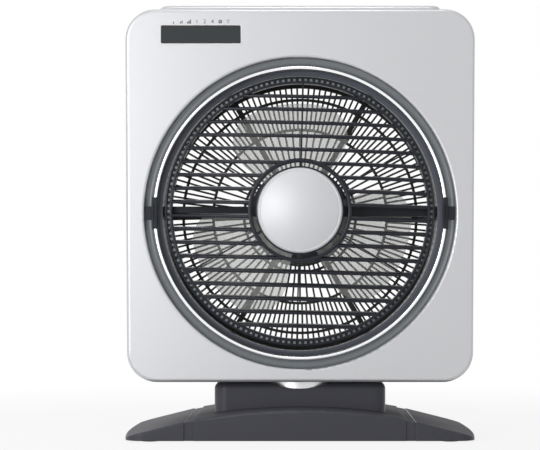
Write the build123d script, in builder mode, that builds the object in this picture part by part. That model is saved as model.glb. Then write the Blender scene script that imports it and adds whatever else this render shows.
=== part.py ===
from build123d import *
from math import acos, asin, atan2, cos, degrees, hypot, pi, radians, sin, sqrt, tan
import os

os.makedirs("parts", exist_ok=True)

# A box fan whose head swings on a low base, with a rotating louver in front of the blades.
# Sizes are in millimetres. The fan faces -Y, +X is to the right seen from the front, +Z is up.
# The swing axis is the Z axis and the floor is at height zero.
# A distance called forward, front or back is measured from the swing axis towards the viewer.

# Clearances
seat_gap = 0.3
running_gap = 0.05
press_gap = 0.02
pocket_gap = 0.4
trim_overrun = 12.0

# Case
case_bottom = 60.8
case_height = 397.4
case_width_top = 373.0
case_width_bottom = 368.6
case_corner_radius = 32.0
case_wall = 2.5
panel_front = 66.0
panel_depth = 30.0
panel_edge_radius = 4.0
rear_case_depth = 94.0
rear_edge_radius = 5.0

# Screw towers that join the two halves of the case
tower_side = 166.0
tower_low = 29.0
tower_high = 369.0
tower_split = 20.0
tower_radius = 5.5
screw_hole_radius = 2.0
screw_radius = 1.8
screw_head_radius = 3.6
screw_head_height = 2.4
case_screw_bite = 12.0
screw_land_depth = 10.0

# Carrying grip on the top of the rear case
grip_width = 312.0
grip_depth = 46.0
grip_height = 15.0
grip_corner_radius = 12.0
grip_edge_radius = 5.0
grip_roof = 4.0
pocket_width = 112.0
pocket_depth = 34.0
pocket_height = 40.0
pocket_drop = 7.5

# Round opening in the front panel
fan_height = 241.0
panel_opening_radius = 166.0
panel_lip_wall = 4.5
panel_shelf_width = 4.7
panel_shelf_thickness = 2.5
rolled_edge_radius = 2.6

# Guard ring with its channel, bead seat and funnel
ring_gap = 0.4
ring_recess = 5.5
channel_width = 8.4
channel_depth = 2.4
seat_rise = 1.0
seat_width = 4.4
bead_radius = 2.1
funnel_width = 5.5
funnel_depth = 9.5
funnel_sag = 1.2
ring_wall = 2.7
ring_skirt = 15.0

# Spring latches of the guard ring
latch_length = 33.0
latch_block_width = 5.6
latch_block_height = 5.6
latch_travel = 3.0
latch_tongue_length = 14.0
latch_tongue_reach = 3.0
latch_tongue_thickness = 2.8
latch_grip_length = 17.0
latch_grip_width = 2.6
latch_grip_depth = 2.0
latch_edge_radius = 0.8

# Air shroud and rear guard
shroud_gap = 0.5
shroud_wall = 2.0
shroud_overlap = 7.0
rear_opening_radius = 149.0
guard_depth = 4.0
guard_rim_width = 4.1
guard_flange_thickness = 2.5
guard_ring_width = 3.0
guard_inner_radius = 62.9
guard_middle_radius = 97.8
guard_outer_radius = 131.4
guard_bars_inside = 70
guard_bars_outside = 140
guard_bar_width = 2.1
guard_rib_count = 6
guard_rib_width = 6.0
guard_rib_depth = 6.0
motor_plate_radius = 56.5

# Fan motor
motor_radius = 54.0
motor_rear_length = 12.0
stator_length = 16.0
motor_front_length = 10.0
motor_wall = 2.5
motor_cavity_radius = 39.0
rotor_gap = 0.5
rotor_radius = 24.5
rotor_overhang = 1.0
bearing_length = 6.0
bearing_wall = 5.0
bearing_boss_wall = 3.0
motor_bolt_circle = 46.0
motor_bolt_count = 4
motor_bolt_start = 45.0
rotor_shaft_radius = 4.0

# Blade wheel
blade_count = 3
blade_radius = 122.0
blade_half_angle = 42.0
blade_tip_rounding = 34.0
blade_first_angle = 97.0
blade_thickness = 2.2
blade_rise = 11.0
blade_hub_radius = 30.0
blade_hub_depth = 26.0
blade_hub_wall = 3.0
blade_hub_boss_radius = 11.0
blade_hub_setback = 10.0
blade_root_depth = 2.0
blade_overrun = 2.0
blade_nut_radius = 10.0
blade_nut_height = 7.0
blade_nut_bite = 5.0
blade_nut_flutes = 12
blade_nut_flute_radius = 1.2

# Louver
louver_radius = 137.8
dome_height = 34.0
louver_middle = 51.0
louver_turn = 1.4
louver_lift = 2.2
slat_count = 18
slat_pitch = 14.4
slat_depth = 12.0
slat_thickness = 3.5
slat_tilt = 8.0
rim_inner_wall = 2.4
rim_cover = 1.0
rim_outer_radius = 144.2
rim_outer_wall = 1.6
rim_outer_depth = 7.0
rim_floor = 2.4
spoke_count = 6
spoke_first_angle = 30.0
spoke_width = 1.6
spoke_depth = 4.0
spoke_stand = 0.4
spoke_segments = 6
hub_ring_radius = 54.9
hub_ring_wall = 4.0
hub_spoke_width = 3.0
hub_plate_radius = 46.8
hub_plate_thickness = 3.0
hub_boss_radius = 9.0
hub_boss_length = 15.0
cap_radius = 45.0
cap_edge = 4.0
cap_crown = 10.0
cap_wall = 2.0

# Louver bar and louver motor
bar_height = 11.0
bar_depth = 6.0
bar_boss_radius = 27.5
louver_motor_radius = 25.0
louver_motor_length = 17.0
louver_motor_nose_radius = 7.0
louver_motor_nose = 3.0
louver_motor_edge = 1.5
louver_shaft_radius = 3.0
louver_shaft_engagement = 10.0

# Display
window_centre = -105.6
window_height = 370.2
window_width = 85.0
window_tall = 19.3
window_corner = 1.6
window_gap = 0.2
window_recess = 0.3
window_flange = 3.0
window_flange_thickness = 1.6
board_thickness = 1.6
display_board_setback = 7.0
display_post_radius = 3.0
display_post_margin = 7.0
display_board_overhang = 4.5
led_count = 8
led_pitch = 8.3
led_radius = 1.6
led_height = 4.0

# Keys on the top
key_names = ("power_key", "speed_key", "timer_key", "louver_key", "swing_key")
key_pitch = 18.0
key_width = 13.0
key_depth = 8.6
key_gap = 0.3
key_stand = 2.0
key_travel = 1.2
key_corner = 2.0
key_edge = 0.6
key_flange = 1.2
key_flange_thickness = 1.6
key_stem = 4.0
key_stem_length = 2.4
deck_margin = 5.0
deck_end_margin = 6.0
deck_post_margin = 4.0
deck_thickness = 3.2
deck_stand = 0.6
deck_forward = 22.0
deck_post_radius = 1.5
switch_width = 6.0
switch_height = 3.6

# Electronics in the lower corner of the case
power_board_side = -118.0
power_board_up = 21.2
power_board_width = 50.0
power_board_tall = 26.0
power_board_post = 13.5
power_post_radius = 3.0
power_post_inset = 4.0
capacitor_width = 30.0
capacitor_tall = 14.0
capacitor_depth = 16.0

# Neck
neck_sphere_radius = 87.4
neck_sphere_height = 129.8
collar_flat = 47.0
collar_radius = 41.0
dish_gap = 0.6
dish_wall = 2.5
washer_thickness = 1.6
washer_inner_radius = 13.0
washer_outer_radius = 22.0
tube_radius = 11.0
tube_bore = 8.0
tube_bottom = 6.5
collar_screw_circle = 33.0
collar_screw_count = 4
collar_screw_start = 45.0
collar_screw_length = 12.0

# Pedestal
pedestal_width = 185.0
pedestal_depth = 84.0
pedestal_ledge = 6.0
pedestal_top = 59.2
pedestal_corner_radius = 14.0
pedestal_edge_radius = 7.0
pedestal_wall = 2.5
gland_side = 60.0
gland_height = 40.0
gland_radius = 5.6
gland_flange_radius = 7.6
gland_flange_thickness = 2.0
gland_nose = 6.0
gland_nose_radius = 5.0
gland_bore = 3.3

# Base
base_width = 376.0
base_depth = 208.0
base_top = 33.5
base_sag = 11.5
base_wall = 3.0
base_clear = 1.5
base_corner_radius = 20.0
base_edge_radius = 2.5
foot_joint = 121.0
band_width = 9.6
band_recess = 1.4
band_edge_radius = 1.2
foot_root_height = 21.6
foot_toe_height = 4.8
foot_bow = 6.0
foot_cavity_depth = 120.0
foot_wall = 3.0
foot_edge_radius = 2.0
pad_radius = 9.0
pad_stem_radius = 3.0
pad_stem_length = 1.4
pad_side = 158.0
pad_forward = 84.0

# Bottom plate and swing mechanism
plate_thickness = 3.0
plate_gap = 0.4
base_screw_side = 96.0
base_screw_forward = 78.0
base_boss_radius = 4.5
base_screw_length = 12.0
base_screw_head_depth = 1.6
swing_plate_height = 18.0
swing_plate_thickness = 2.0
swing_plate_back_reach = 32.0
swing_plate_reach = 86.0
swing_plate_width = 64.0
swing_post_radius = 4.0
swing_post_inset = 7.0
bush_wall = 3.0
bush_length = 6.6
gear_module = 1.25
pinion_teeth = 16
pinion_phase = 0.5
sector_teeth = 64
sector_span_teeth = 17
gear_thickness = 5.0
gear_backlash = 0.25
gear_pressure_angle = 20.0
gear_flank_steps = 4
gear_root_clearance = 0.25
sector_hub_radius = 16.0
swing_motor_radius = 25.0
swing_motor_height = 17.0
swing_motor_edge = 2.0
swing_shaft_engagement = 8.0
swing_shaft_radius = 3.0
clip_radius = 14.0
clip_thickness = 1.4

# Places that follow from the sizes above
case_top = case_bottom + case_height
parting = panel_front - panel_depth
case_back = parting - rear_case_depth
panel_inside = panel_front - case_wall
back_inside = case_back + case_wall
tower_places = [
    (side * tower_side, case_bottom + up)
    for side in (-1, 1)
    for up in (tower_low, tower_high)
]
ring_outer = panel_opening_radius - ring_gap
ring_front = panel_front - ring_recess
channel_floor = ring_front - channel_depth
channel_inner = ring_outer - channel_width
seat_front = ring_front + seat_rise
seat_inner = channel_inner - seat_width
ring_inner = seat_inner - funnel_width
funnel_back = seat_front - funnel_depth
ring_back = funnel_back - ring_skirt
ring_under = channel_floor - ring_wall
shelf_top = ring_under - seat_gap
bead_centre = (channel_inner + seat_inner) / 2
latch_floor = seat_front + bead_radius - latch_block_height
latch_pocket_floor = latch_floor - seat_gap
latch_outer = bead_centre + latch_block_width / 2
latch_inner = bead_centre - latch_block_width / 2
tongue_end = panel_opening_radius + latch_tongue_reach - seat_gap
shroud_inner = ring_inner + ring_wall + shroud_gap
shroud_outer = shroud_inner + shroud_wall
guard_rim_outer = rear_opening_radius - ring_gap
guard_flange_outer = shroud_inner - seat_gap
guard_front = case_back + guard_depth
guard_open_radius = guard_rim_outer - guard_rim_width
motor_back = guard_front
stator_back = motor_back + motor_rear_length
stator_front = stator_back + stator_length
motor_front = stator_front + motor_front_length
blade_hub_back = motor_front + blade_hub_setback
blade_hub_front = blade_hub_back + blade_hub_depth
blade_middle = (blade_hub_back + blade_hub_front) / 2
louver_height = fan_height + louver_lift
dome_radius = (louver_radius ** 2 + dome_height ** 2) / (2 * dome_height)
dome_centre = louver_middle + dome_height - dome_radius
hub_middle = dome_centre + sqrt(dome_radius ** 2 - hub_ring_radius ** 2)
louver_back = louver_middle - slat_depth / 2
spoke_front = slat_depth / 2 + spoke_stand
bar_back = ring_back + seat_gap
bar_front = bar_back + bar_depth
louver_motor_front = bar_front + louver_motor_length
dish_floor = collar_flat - seat_gap - washer_thickness
gear_low = swing_plate_height - seat_gap - gear_thickness
pinion_place = gear_module * (pinion_teeth + sector_teeth) / 2
plate_top = base_clear + plate_thickness
deck_top = case_top + deck_stand
deck_under = deck_top - deck_thickness
key_row_half = key_pitch * (len(key_names) - 1) / 2
deck_width = 2 * key_row_half + key_width + 2 * deck_end_margin
deck_depth = key_depth + 2 * deck_margin
key_flange_top = deck_under - seat_gap
key_stem_bottom = key_flange_top - key_flange_thickness - key_stem_length
switch_top = key_stem_bottom - key_travel - seat_gap
switch_board_top = switch_top - switch_height
window_place = case_bottom + window_height
display_board_front = panel_inside - display_board_setback
power_place = case_bottom + power_board_up
board_back = back_inside + power_board_post
screw_land = tower_split - screw_land_depth
grip_middle = -case_back - case_wall / 2 - grip_depth / 2
grip_inset = case_wall + grip_edge_radius - grip_roof
pocket_middle = case_top + grip_height - pocket_drop - pocket_height / 2
latch_pocket_inner = latch_inner - latch_travel - pocket_gap
latch_pocket_outer = latch_outer + pocket_gap
cap_back = hub_middle + hub_plate_thickness
cap_sphere = (cap_radius ** 2 + cap_crown ** 2) / (2 * cap_crown)
cap_front = cap_back + cap_edge + cap_crown
louver_shaft_back = louver_motor_front + louver_motor_nose - louver_shaft_engagement + seat_gap
bearing_radius = rotor_shaft_radius + bearing_wall
blade_root = blade_hub_radius - blade_root_depth
slat_sweep = degrees(asin((louver_radius + rim_inner_wall) / dome_radius))
display_post_pitch = window_width + 2 * display_post_margin
deck_post_pitch = 2 * key_row_half + key_width + 2 * deck_post_margin
power_post_pitch = power_board_width - 2 * power_post_inset
power_post_rise = power_board_tall - 2 * power_post_inset
arch_radius = (foot_joint ** 2 + base_sag ** 2) / (2 * base_sag)
toe_corner = base_width / 2 - foot_bow
foot_slope = atan2(foot_root_height - foot_toe_height, base_width / 2 - foot_joint)
foot_cavity_top = foot_root_height - foot_wall / cos(foot_slope) - foot_wall * tan(foot_slope)
foot_cavity_end = foot_joint + foot_wall + (foot_cavity_top - base_clear) / tan(foot_slope)
pedestal_low = base_top - base_sag
bush_radius = tube_radius + running_gap + bush_wall
plate_width = 2 * (foot_joint - base_wall - plate_gap)
plate_depth = base_depth - 2 * (band_recess + base_wall + plate_gap)
swing_posts = [
    (along, across)
    for along in (-swing_plate_back_reach + swing_post_inset, swing_plate_reach - swing_post_inset)
    for across in (-swing_plate_width / 2 + swing_post_inset, swing_plate_width / 2 - swing_post_inset)
]

fan_axis = Axis((0, 0, fan_height), (0, -1, 0))
louver_axis = Axis((0, 0, louver_height), (0, -1, 0))
dome_axis = Axis((0, -dome_centre, 0), (0, 0, 1))
radius_plane = Plane(origin=(0, 0, fan_height), x_dir=(1, 0, 0), z_dir=(0, 0, -1))
louver_plane = Plane(origin=(0, 0, louver_height), x_dir=(1, 0, 0), z_dir=(0, 0, -1))
slat_plane = Plane(
    origin=(0, -dome_centre, louver_height),
    x_dir=(-sin(radians(slat_sweep)), -cos(radians(slat_sweep)), 0),
    z_dir=(-cos(radians(slat_sweep)), sin(radians(slat_sweep)), 0),
)


def facing(forward, height=0.0):
    """A drawing plane that faces the front, at a forward distance and a height."""
    return Plane(origin=(0, -forward, height), x_dir=(1, 0, 0), z_dir=(0, -1, 0))


def case_outline(inset):
    """The case's front outline, a little narrower at the foot, drawn in evenly by an inset."""
    low = case_bottom + inset
    high = case_top - inset
    half_low = case_width_bottom / 2 - inset
    half_high = case_width_top / 2 - inset
    with BuildLine() as outline:
        FilletPolyline(
            (-half_low, low),
            (half_low, low),
            (half_high, high),
            (-half_high, high),
            radius=case_corner_radius - inset,
            close=True,
        )
    make_face(outline.edges())


def bowl_profile(radius, floor, top):
    """Half section of a flat-bottomed bowl that is part of the neck's sphere, about the swing axis."""
    floor_radius = sqrt(radius ** 2 - (neck_sphere_height - floor) ** 2)
    top_radius = sqrt(radius ** 2 - (neck_sphere_height - top) ** 2)
    middle = (floor + top) / 2
    middle_radius = sqrt(radius ** 2 - (neck_sphere_height - middle) ** 2)
    with BuildLine() as outline:
        Polyline((0, top), (0, floor), (floor_radius, floor))
        ThreePointArc((floor_radius, floor), (middle_radius, middle), (top_radius, top))
        Line((top_radius, top), (0, top))
    make_face(outline.edges())


def tooth_flank(teeth):
    """Radius and half-width angle of an involute tooth, from its root up to its tip."""
    pitch_radius = gear_module * teeth / 2
    base_radius = pitch_radius * cos(radians(gear_pressure_angle))
    root = pitch_radius - gear_module * (1 + gear_root_clearance)
    tip = pitch_radius + gear_module
    half_pitch = pi / (2 * teeth) - gear_backlash / (2 * pitch_radius)
    pitch_involute = tan(radians(gear_pressure_angle)) - radians(gear_pressure_angle)
    start = max(root, base_radius)
    flank = []
    for step in range(gear_flank_steps + 1):
        radius = start + (tip - start) * step / gear_flank_steps
        pressure = acos(min(1.0, base_radius / radius))
        flank.append((radius, half_pitch + pitch_involute - tan(pressure) + pressure))
    if root < base_radius:
        flank.insert(0, (root, flank[0][1]))
    return flank


def tooth_points(teeth, index):
    """Corner points of one tooth, going round the gear."""
    flank = tooth_flank(teeth)
    middle = 2 * pi * index / teeth
    rising = [(radius, middle - half) for radius, half in flank]
    falling = [(radius, middle + half) for radius, half in reversed(flank)]
    return [(radius * cos(angle), radius * sin(angle)) for radius, angle in rising + falling]


def dome_points(offset):
    """Points along the louver dome's section, moved out by an offset, from the hub to the rim."""
    radius = dome_radius + offset
    start = hub_ring_radius - hub_ring_wall / 2
    step = (louver_radius - start) / spoke_segments
    reaches = [start + step * index for index in range(spoke_segments + 1)]
    return [(reach, dome_centre + sqrt(radius ** 2 - reach ** 2)) for reach in reaches]


def bar_gaps(inner, outer, count, bar):
    """Gaps between radial bars of even width, from one ring to the next."""
    half_inner = inner * tan(pi / count) - bar / 2
    half_outer = outer * tan(pi / count) - bar / 2
    with PolarLocations(0, count):
        Polygon(
            (inner, -half_inner),
            (outer, -half_outer),
            (outer, half_outer),
            (inner, half_inner),
            align=None,
        )


def arch_height(side):
    """Height of the base's arched top at a distance from its middle."""
    return base_top - arch_radius + sqrt(arch_radius ** 2 - side ** 2)


def arch_face(half, drop, floor):
    """Front outline of the arched base out to a half width, lowered by a drop, down to a floor."""
    edge = arch_height(half) - drop
    with BuildLine() as outline:
        ThreePointArc((-half, edge), (0, base_top - drop), (half, edge))
        Polyline((half, edge), (half, floor), (-half, floor), (-half, edge))
    make_face(outline.edges())


# Base: the arched middle, open below and under the pedestal, with a sunk band at each end
with BuildPart() as base_cover:
    with BuildSketch(Plane.XZ):
        arch_face(foot_joint - band_width, 0, base_clear)
    extrude(amount=base_depth / 2, both=True)
    arch_edges = base_cover.edges().filter_by(GeomType.CIRCLE)
    fillet(arch_edges, base_edge_radius)
    for end_face in (base_cover.faces().sort_by(Axis.X)[0], base_cover.faces().sort_by(Axis.X)[-1]):
        fillet(end_face.edges().filter_by(lambda edge: edge.center().Z > plate_top), band_edge_radius)
    with BuildSketch(Plane.XZ):
        arch_face(foot_joint, band_recess, base_clear)
    extrude(amount=base_depth / 2 - band_recess, both=True)
    with BuildSketch(Plane.XZ):
        arch_face(foot_joint - base_wall, base_wall, base_clear)
    extrude(amount=base_depth / 2 - band_recess - base_wall, both=True, mode=Mode.SUBTRACT)
    with BuildSketch(Plane.XY.offset(base_clear)):
        Rectangle(pedestal_width - 2 * pedestal_ledge, pedestal_depth - 2 * pedestal_ledge)
    extrude(amount=base_top, mode=Mode.SUBTRACT)
    with BuildSketch(Plane.XY.offset(plate_top)):
        with GridLocations(2 * base_screw_side, 2 * base_screw_forward, 2, 2):
            Circle(base_boss_radius)
    extrude(amount=arch_height(base_screw_side) - base_wall / 2 - plate_top)
    with BuildSketch(Plane.XY.offset(plate_top)):
        with GridLocations(2 * base_screw_side, 2 * base_screw_forward, 2, 2):
            Circle(screw_radius + press_gap)
    extrude(amount=base_screw_length, mode=Mode.SUBTRACT)
base_cover.part.label = "base_cover"
export_step(base_cover.part, "parts/base_cover.step")

# Base: the two tapering end feet, hollow below
for foot_name, side in (("left_foot", -1), ("right_foot", 1)):
    with BuildPart() as end_foot:
        with BuildSketch(Plane.XZ):
            with BuildLine():
                Polyline(
                    (side * foot_joint, base_clear),
                    (side * foot_joint, foot_root_height),
                    (side * base_width / 2, foot_toe_height),
                    (side * base_width / 2, base_clear),
                    close=True,
                )
            make_face()
        extrude(amount=base_depth / 2, both=True)
        with BuildSketch(Plane.XY) as foot_plan:
            with BuildLine():
                Polyline(
                    (side * toe_corner, base_depth / 2),
                    (side * foot_joint, base_depth / 2),
                    (side * foot_joint, -base_depth / 2),
                    (side * toe_corner, -base_depth / 2),
                )
                ThreePointArc(
                    (side * toe_corner, -base_depth / 2),
                    (side * base_width / 2, 0),
                    (side * toe_corner, base_depth / 2),
                )
            make_face()
            fillet(foot_plan.vertices().sort_by(lambda corner: abs(corner.X))[2:], base_corner_radius)
        extrude(amount=base_top, mode=Mode.INTERSECT)
        crest = end_foot.faces().sort_by(Axis.Z)[-1].edges()
        fillet(crest.filter_by(lambda edge: abs(edge.center().X) > foot_joint + foot_edge_radius), foot_edge_radius)
        root_face = end_foot.faces().sort_by(lambda face: abs(face.center().X))[0]
        fillet(root_face.edges().filter_by(lambda edge: edge.center().Z > base_clear), band_edge_radius)
        with BuildSketch(Plane.XZ):
            with BuildLine():
                Polyline(
                    (side * (foot_joint + foot_wall), base_clear),
                    (side * (foot_joint + foot_wall), foot_cavity_top),
                    (side * foot_cavity_end, base_clear),
                    close=True,
                )
            make_face()
        extrude(amount=foot_cavity_depth / 2, both=True, mode=Mode.SUBTRACT)
        with BuildSketch(Plane.XY.offset(base_clear)):
            with Locations((side * pad_side, pad_forward), (side * pad_side, -pad_forward)):
                Circle(pad_stem_radius + seat_gap)
        extrude(amount=pad_stem_length + seat_gap, mode=Mode.SUBTRACT)
    end_foot.part.label = foot_name
    export_step(end_foot.part, f"parts/{foot_name}.step")

# Base: rubber pads under the four corners
with BuildPart() as rubber_feet:
    with BuildSketch(Plane.XY):
        with GridLocations(2 * pad_side, 2 * pad_forward, 2, 2):
            Circle(pad_radius)
    extrude(amount=base_clear)
    with BuildSketch(Plane.XY.offset(base_clear)):
        with GridLocations(2 * pad_side, 2 * pad_forward, 2, 2):
            Circle(pad_stem_radius)
    extrude(amount=pad_stem_length)
rubber_feet.part.label = "rubber_feet"
export_step(rubber_feet.part, "parts/rubber_feet.step")

# Base: bottom plate with the posts of the swing mechanism
with BuildPart() as bottom_plate:
    with BuildSketch(Plane.XY.offset(base_clear)):
        Rectangle(plate_width, plate_depth)
    extrude(amount=plate_thickness)
    with BuildSketch(Plane.XY.offset(plate_top)):
        with Locations(*swing_posts):
            Circle(swing_post_radius)
    extrude(amount=swing_plate_height - plate_top)
    with BuildSketch(Plane.XY.offset(base_clear)):
        with GridLocations(2 * base_screw_side, 2 * base_screw_forward, 2, 2):
            Circle(screw_hole_radius)
    extrude(amount=plate_thickness, mode=Mode.SUBTRACT)
    with BuildSketch(Plane.XY.offset(base_clear)):
        with GridLocations(2 * base_screw_side, 2 * base_screw_forward, 2, 2):
            Circle(screw_head_radius + pocket_gap)
    extrude(amount=base_screw_head_depth, mode=Mode.SUBTRACT)
bottom_plate.part.label = "bottom_plate"
export_step(bottom_plate.part, "parts/bottom_plate.step")

# Base: screws of the bottom plate
with BuildPart() as base_screws:
    with BuildSketch(Plane.XY.offset(base_clear + base_screw_head_depth)):
        with GridLocations(2 * base_screw_side, 2 * base_screw_forward, 2, 2):
            Circle(screw_head_radius)
    extrude(amount=-base_screw_head_depth)
    with BuildSketch(Plane.XY.offset(base_clear + base_screw_head_depth)):
        with GridLocations(2 * base_screw_side, 2 * base_screw_forward, 2, 2):
            Circle(screw_radius)
    extrude(amount=base_screw_length - seat_gap)
base_screws.part.label = "base_screws"
export_step(base_screws.part, "parts/base_screws.step")

# Pedestal: outer block with rounded edges, standing on the arch of the base
with BuildPart() as pedestal_block:
    with BuildSketch(Plane.XY.offset(pedestal_low)):
        RectangleRounded(pedestal_width, pedestal_depth, pedestal_corner_radius)
    extrude(amount=pedestal_top - pedestal_low)
    fillet(pedestal_block.faces().sort_by(Axis.Z)[-1].edges(), pedestal_edge_radius)
    with BuildSketch(Plane.XZ):
        arch_face(foot_joint, 0, base_clear)
    extrude(amount=base_depth / 2, both=True, mode=Mode.SUBTRACT)

# Pedestal: the hollow inside it, which leaves a wall under the dish
with BuildPart() as pedestal_hollow:
    with BuildSketch(Plane.XY.offset(pedestal_low)):
        RectangleRounded(
            pedestal_width - 2 * pedestal_wall,
            pedestal_depth - 2 * pedestal_wall,
            pedestal_corner_radius - pedestal_wall,
        )
    extrude(amount=pedestal_top - pedestal_wall - pedestal_low)
    with BuildSketch(Plane.XZ):
        bowl_profile(neck_sphere_radius + dish_gap + dish_wall, dish_floor - dish_wall, case_bottom)
    revolve(axis=Axis.Z, mode=Mode.SUBTRACT)

# Pedestal housing with its dish, the neck hole and the gland hole
with BuildPart() as pedestal_housing:
    add(pedestal_block.part)
    add(pedestal_hollow.part, mode=Mode.SUBTRACT)
    with BuildSketch(Plane.XZ):
        bowl_profile(neck_sphere_radius + dish_gap, dish_floor, case_bottom)
    revolve(axis=Axis.Z, mode=Mode.SUBTRACT)
    with BuildSketch(Plane.XY.offset(dish_floor)):
        Circle(washer_inner_radius)
    extrude(amount=-2 * dish_wall, mode=Mode.SUBTRACT)
    with BuildSketch(facing(-pedestal_depth / 2, gland_height)):
        with Locations((gland_side, 0)):
            Circle(gland_radius + press_gap)
    extrude(amount=2 * pedestal_wall, mode=Mode.SUBTRACT)
pedestal_housing.part.label = "pedestal_housing"
export_step(pedestal_housing.part, "parts/pedestal_housing.step")

# Pedestal: gland for the mains cord, in the rear wall
with BuildPart() as cord_gland:
    with BuildSketch(facing(-pedestal_depth / 2, gland_height)):
        with Locations((gland_side, 0)):
            Circle(gland_radius)
    extrude(amount=pedestal_wall)
    with BuildSketch(facing(-pedestal_depth / 2, gland_height)):
        with Locations((gland_side, 0)):
            Circle(gland_flange_radius)
    extrude(amount=-gland_flange_thickness)
    with BuildSketch(facing(-pedestal_depth / 2 - gland_flange_thickness, gland_height)):
        with Locations((gland_side, 0)):
            Circle(gland_nose_radius)
    extrude(amount=-gland_nose)
    with BuildSketch(facing(-pedestal_depth / 2 + pedestal_wall, gland_height)):
        with Locations((gland_side, 0)):
            Circle(gland_bore)
    extrude(amount=-pedestal_wall - gland_flange_thickness - gland_nose, mode=Mode.SUBTRACT)
cord_gland.part.label = "cord_gland"
export_step(cord_gland.part, "parts/cord_gland.step")

# Swing mechanism: steel plate on the posts
with BuildPart() as swing_plate:
    with BuildSketch(Plane.XY.offset(swing_plate_height)):
        with Locations(((swing_plate_reach - swing_plate_back_reach) / 2, 0)):
            Rectangle(swing_plate_reach + swing_plate_back_reach, swing_plate_width)
        Circle(bush_radius + press_gap, mode=Mode.SUBTRACT)
        with Locations((pinion_place, 0)):
            Circle(swing_shaft_radius + 2 * pocket_gap, mode=Mode.SUBTRACT)
    extrude(amount=swing_plate_thickness)
swing_plate.part.label = "swing_plate"
export_step(swing_plate.part, "parts/swing_plate.step")

# Swing mechanism: plain bearing of the neck tube
with BuildPart() as pivot_bush:
    with BuildSketch(Plane.XY.offset(swing_plate_height)):
        Circle(bush_radius)
        Circle(tube_radius + running_gap, mode=Mode.SUBTRACT)
    extrude(amount=bush_length)
pivot_bush.part.label = "pivot_bush"
export_step(pivot_bush.part, "parts/pivot_bush.step")

# Swing mechanism: slip ring on the floor of the dish
with BuildPart() as thrust_washer:
    with BuildSketch(Plane.XY.offset(dish_floor)):
        Circle(washer_outer_radius)
        Circle(washer_inner_radius, mode=Mode.SUBTRACT)
    extrude(amount=washer_thickness)
thrust_washer.part.label = "thrust_washer"
export_step(thrust_washer.part, "parts/thrust_washer.step")

# Swing mechanism: flat gear motor, shaft down through the plate
with BuildPart() as swing_motor:
    with BuildSketch(Plane.XY.offset(swing_plate_height + swing_plate_thickness)):
        with Locations((pinion_place, 0)):
            Circle(swing_motor_radius)
    extrude(amount=swing_motor_height)
    fillet(swing_motor.faces().sort_by(Axis.Z)[-1].edges(), swing_motor_edge)
    with BuildSketch(Plane.XY.offset(swing_plate_height + swing_plate_thickness)):
        with Locations((pinion_place, 0)):
            Circle(swing_shaft_radius + running_gap)
    extrude(amount=swing_shaft_engagement, mode=Mode.SUBTRACT)
swing_motor.part.label = "swing_motor"
export_step(swing_motor.part, "parts/swing_motor.step")

# Swing drive: output shaft of the motor
with BuildPart() as swing_shaft:
    with BuildSketch(Plane.XY.offset(gear_low)):
        with Locations((pinion_place, 0)):
            Circle(swing_shaft_radius)
    extrude(amount=swing_plate_height + swing_plate_thickness + swing_shaft_engagement - seat_gap - gear_low)
swing_shaft.part.label = "swing_shaft"
export_step(swing_shaft.part, "parts/swing_shaft.step")

# Swing drive: pinion, turned half a tooth so that a gap faces the sector
with BuildPart() as swing_pinion:
    with BuildSketch(Plane(origin=(pinion_place, 0, gear_low))):
        with BuildLine():
            outline = []
            for index in range(pinion_teeth):
                outline += tooth_points(pinion_teeth, index + pinion_phase)
            Polyline(*outline, close=True)
        make_face()
        Circle(swing_shaft_radius + press_gap, mode=Mode.SUBTRACT)
    extrude(amount=gear_thickness)
swing_pinion.part.label = "swing_pinion"
export_step(swing_pinion.part, "parts/swing_pinion.step")

# Neck: silver bowl under the case
with BuildPart() as neck_collar:
    with BuildSketch(Plane.XZ):
        bowl_profile(neck_sphere_radius, collar_flat, case_bottom)
    revolve(axis=Axis.Z)
    with BuildSketch(Plane.XY.offset(collar_flat)):
        Circle(collar_radius)
    extrude(amount=case_bottom - collar_flat, mode=Mode.INTERSECT)
    with BuildSketch(Plane.XY.offset(case_bottom)):
        Circle(tube_radius + press_gap)
        with PolarLocations(collar_screw_circle, collar_screw_count, start_angle=collar_screw_start):
            Circle(screw_radius + press_gap)
    extrude(amount=-collar_screw_length, mode=Mode.SUBTRACT)
    with BuildSketch(Plane.XY.offset(case_bottom)):
        Circle(tube_radius + press_gap)
    extrude(amount=-(case_bottom - collar_flat), mode=Mode.SUBTRACT)
neck_collar.part.label = "neck_collar"
export_step(neck_collar.part, "parts/neck_collar.step")

# Neck: hollow tube from the case down through the bush
with BuildPart() as pivot_tube:
    with BuildSketch(Plane.XY.offset(tube_bottom)):
        Circle(tube_radius)
        Circle(tube_bore, mode=Mode.SUBTRACT)
    extrude(amount=case_bottom + case_wall - tube_bottom)
pivot_tube.part.label = "pivot_tube"
export_step(pivot_tube.part, "parts/pivot_tube.step")

# Neck: toothed sector that the pinion drives
with BuildPart() as swing_sector:
    with BuildSketch(Plane.XY.offset(gear_low)):
        with BuildLine():
            outline = [(0, 0)]
            for index in range(sector_span_teeth):
                outline += tooth_points(sector_teeth, index - (sector_span_teeth - 1) / 2)
            Polyline(*outline, close=True)
        make_face()
        Circle(sector_hub_radius)
        Circle(tube_radius + press_gap, mode=Mode.SUBTRACT)
    extrude(amount=gear_thickness)
swing_sector.part.label = "swing_sector"
export_step(swing_sector.part, "parts/swing_sector.step")

# Neck: retaining ring below the sector
with BuildPart() as pivot_clip:
    with BuildSketch(Plane.XY.offset(gear_low)):
        Circle(clip_radius)
        Circle(tube_radius + press_gap, mode=Mode.SUBTRACT)
    extrude(amount=-clip_thickness)
pivot_clip.part.label = "pivot_clip"
export_step(pivot_clip.part, "parts/pivot_clip.step")

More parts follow.
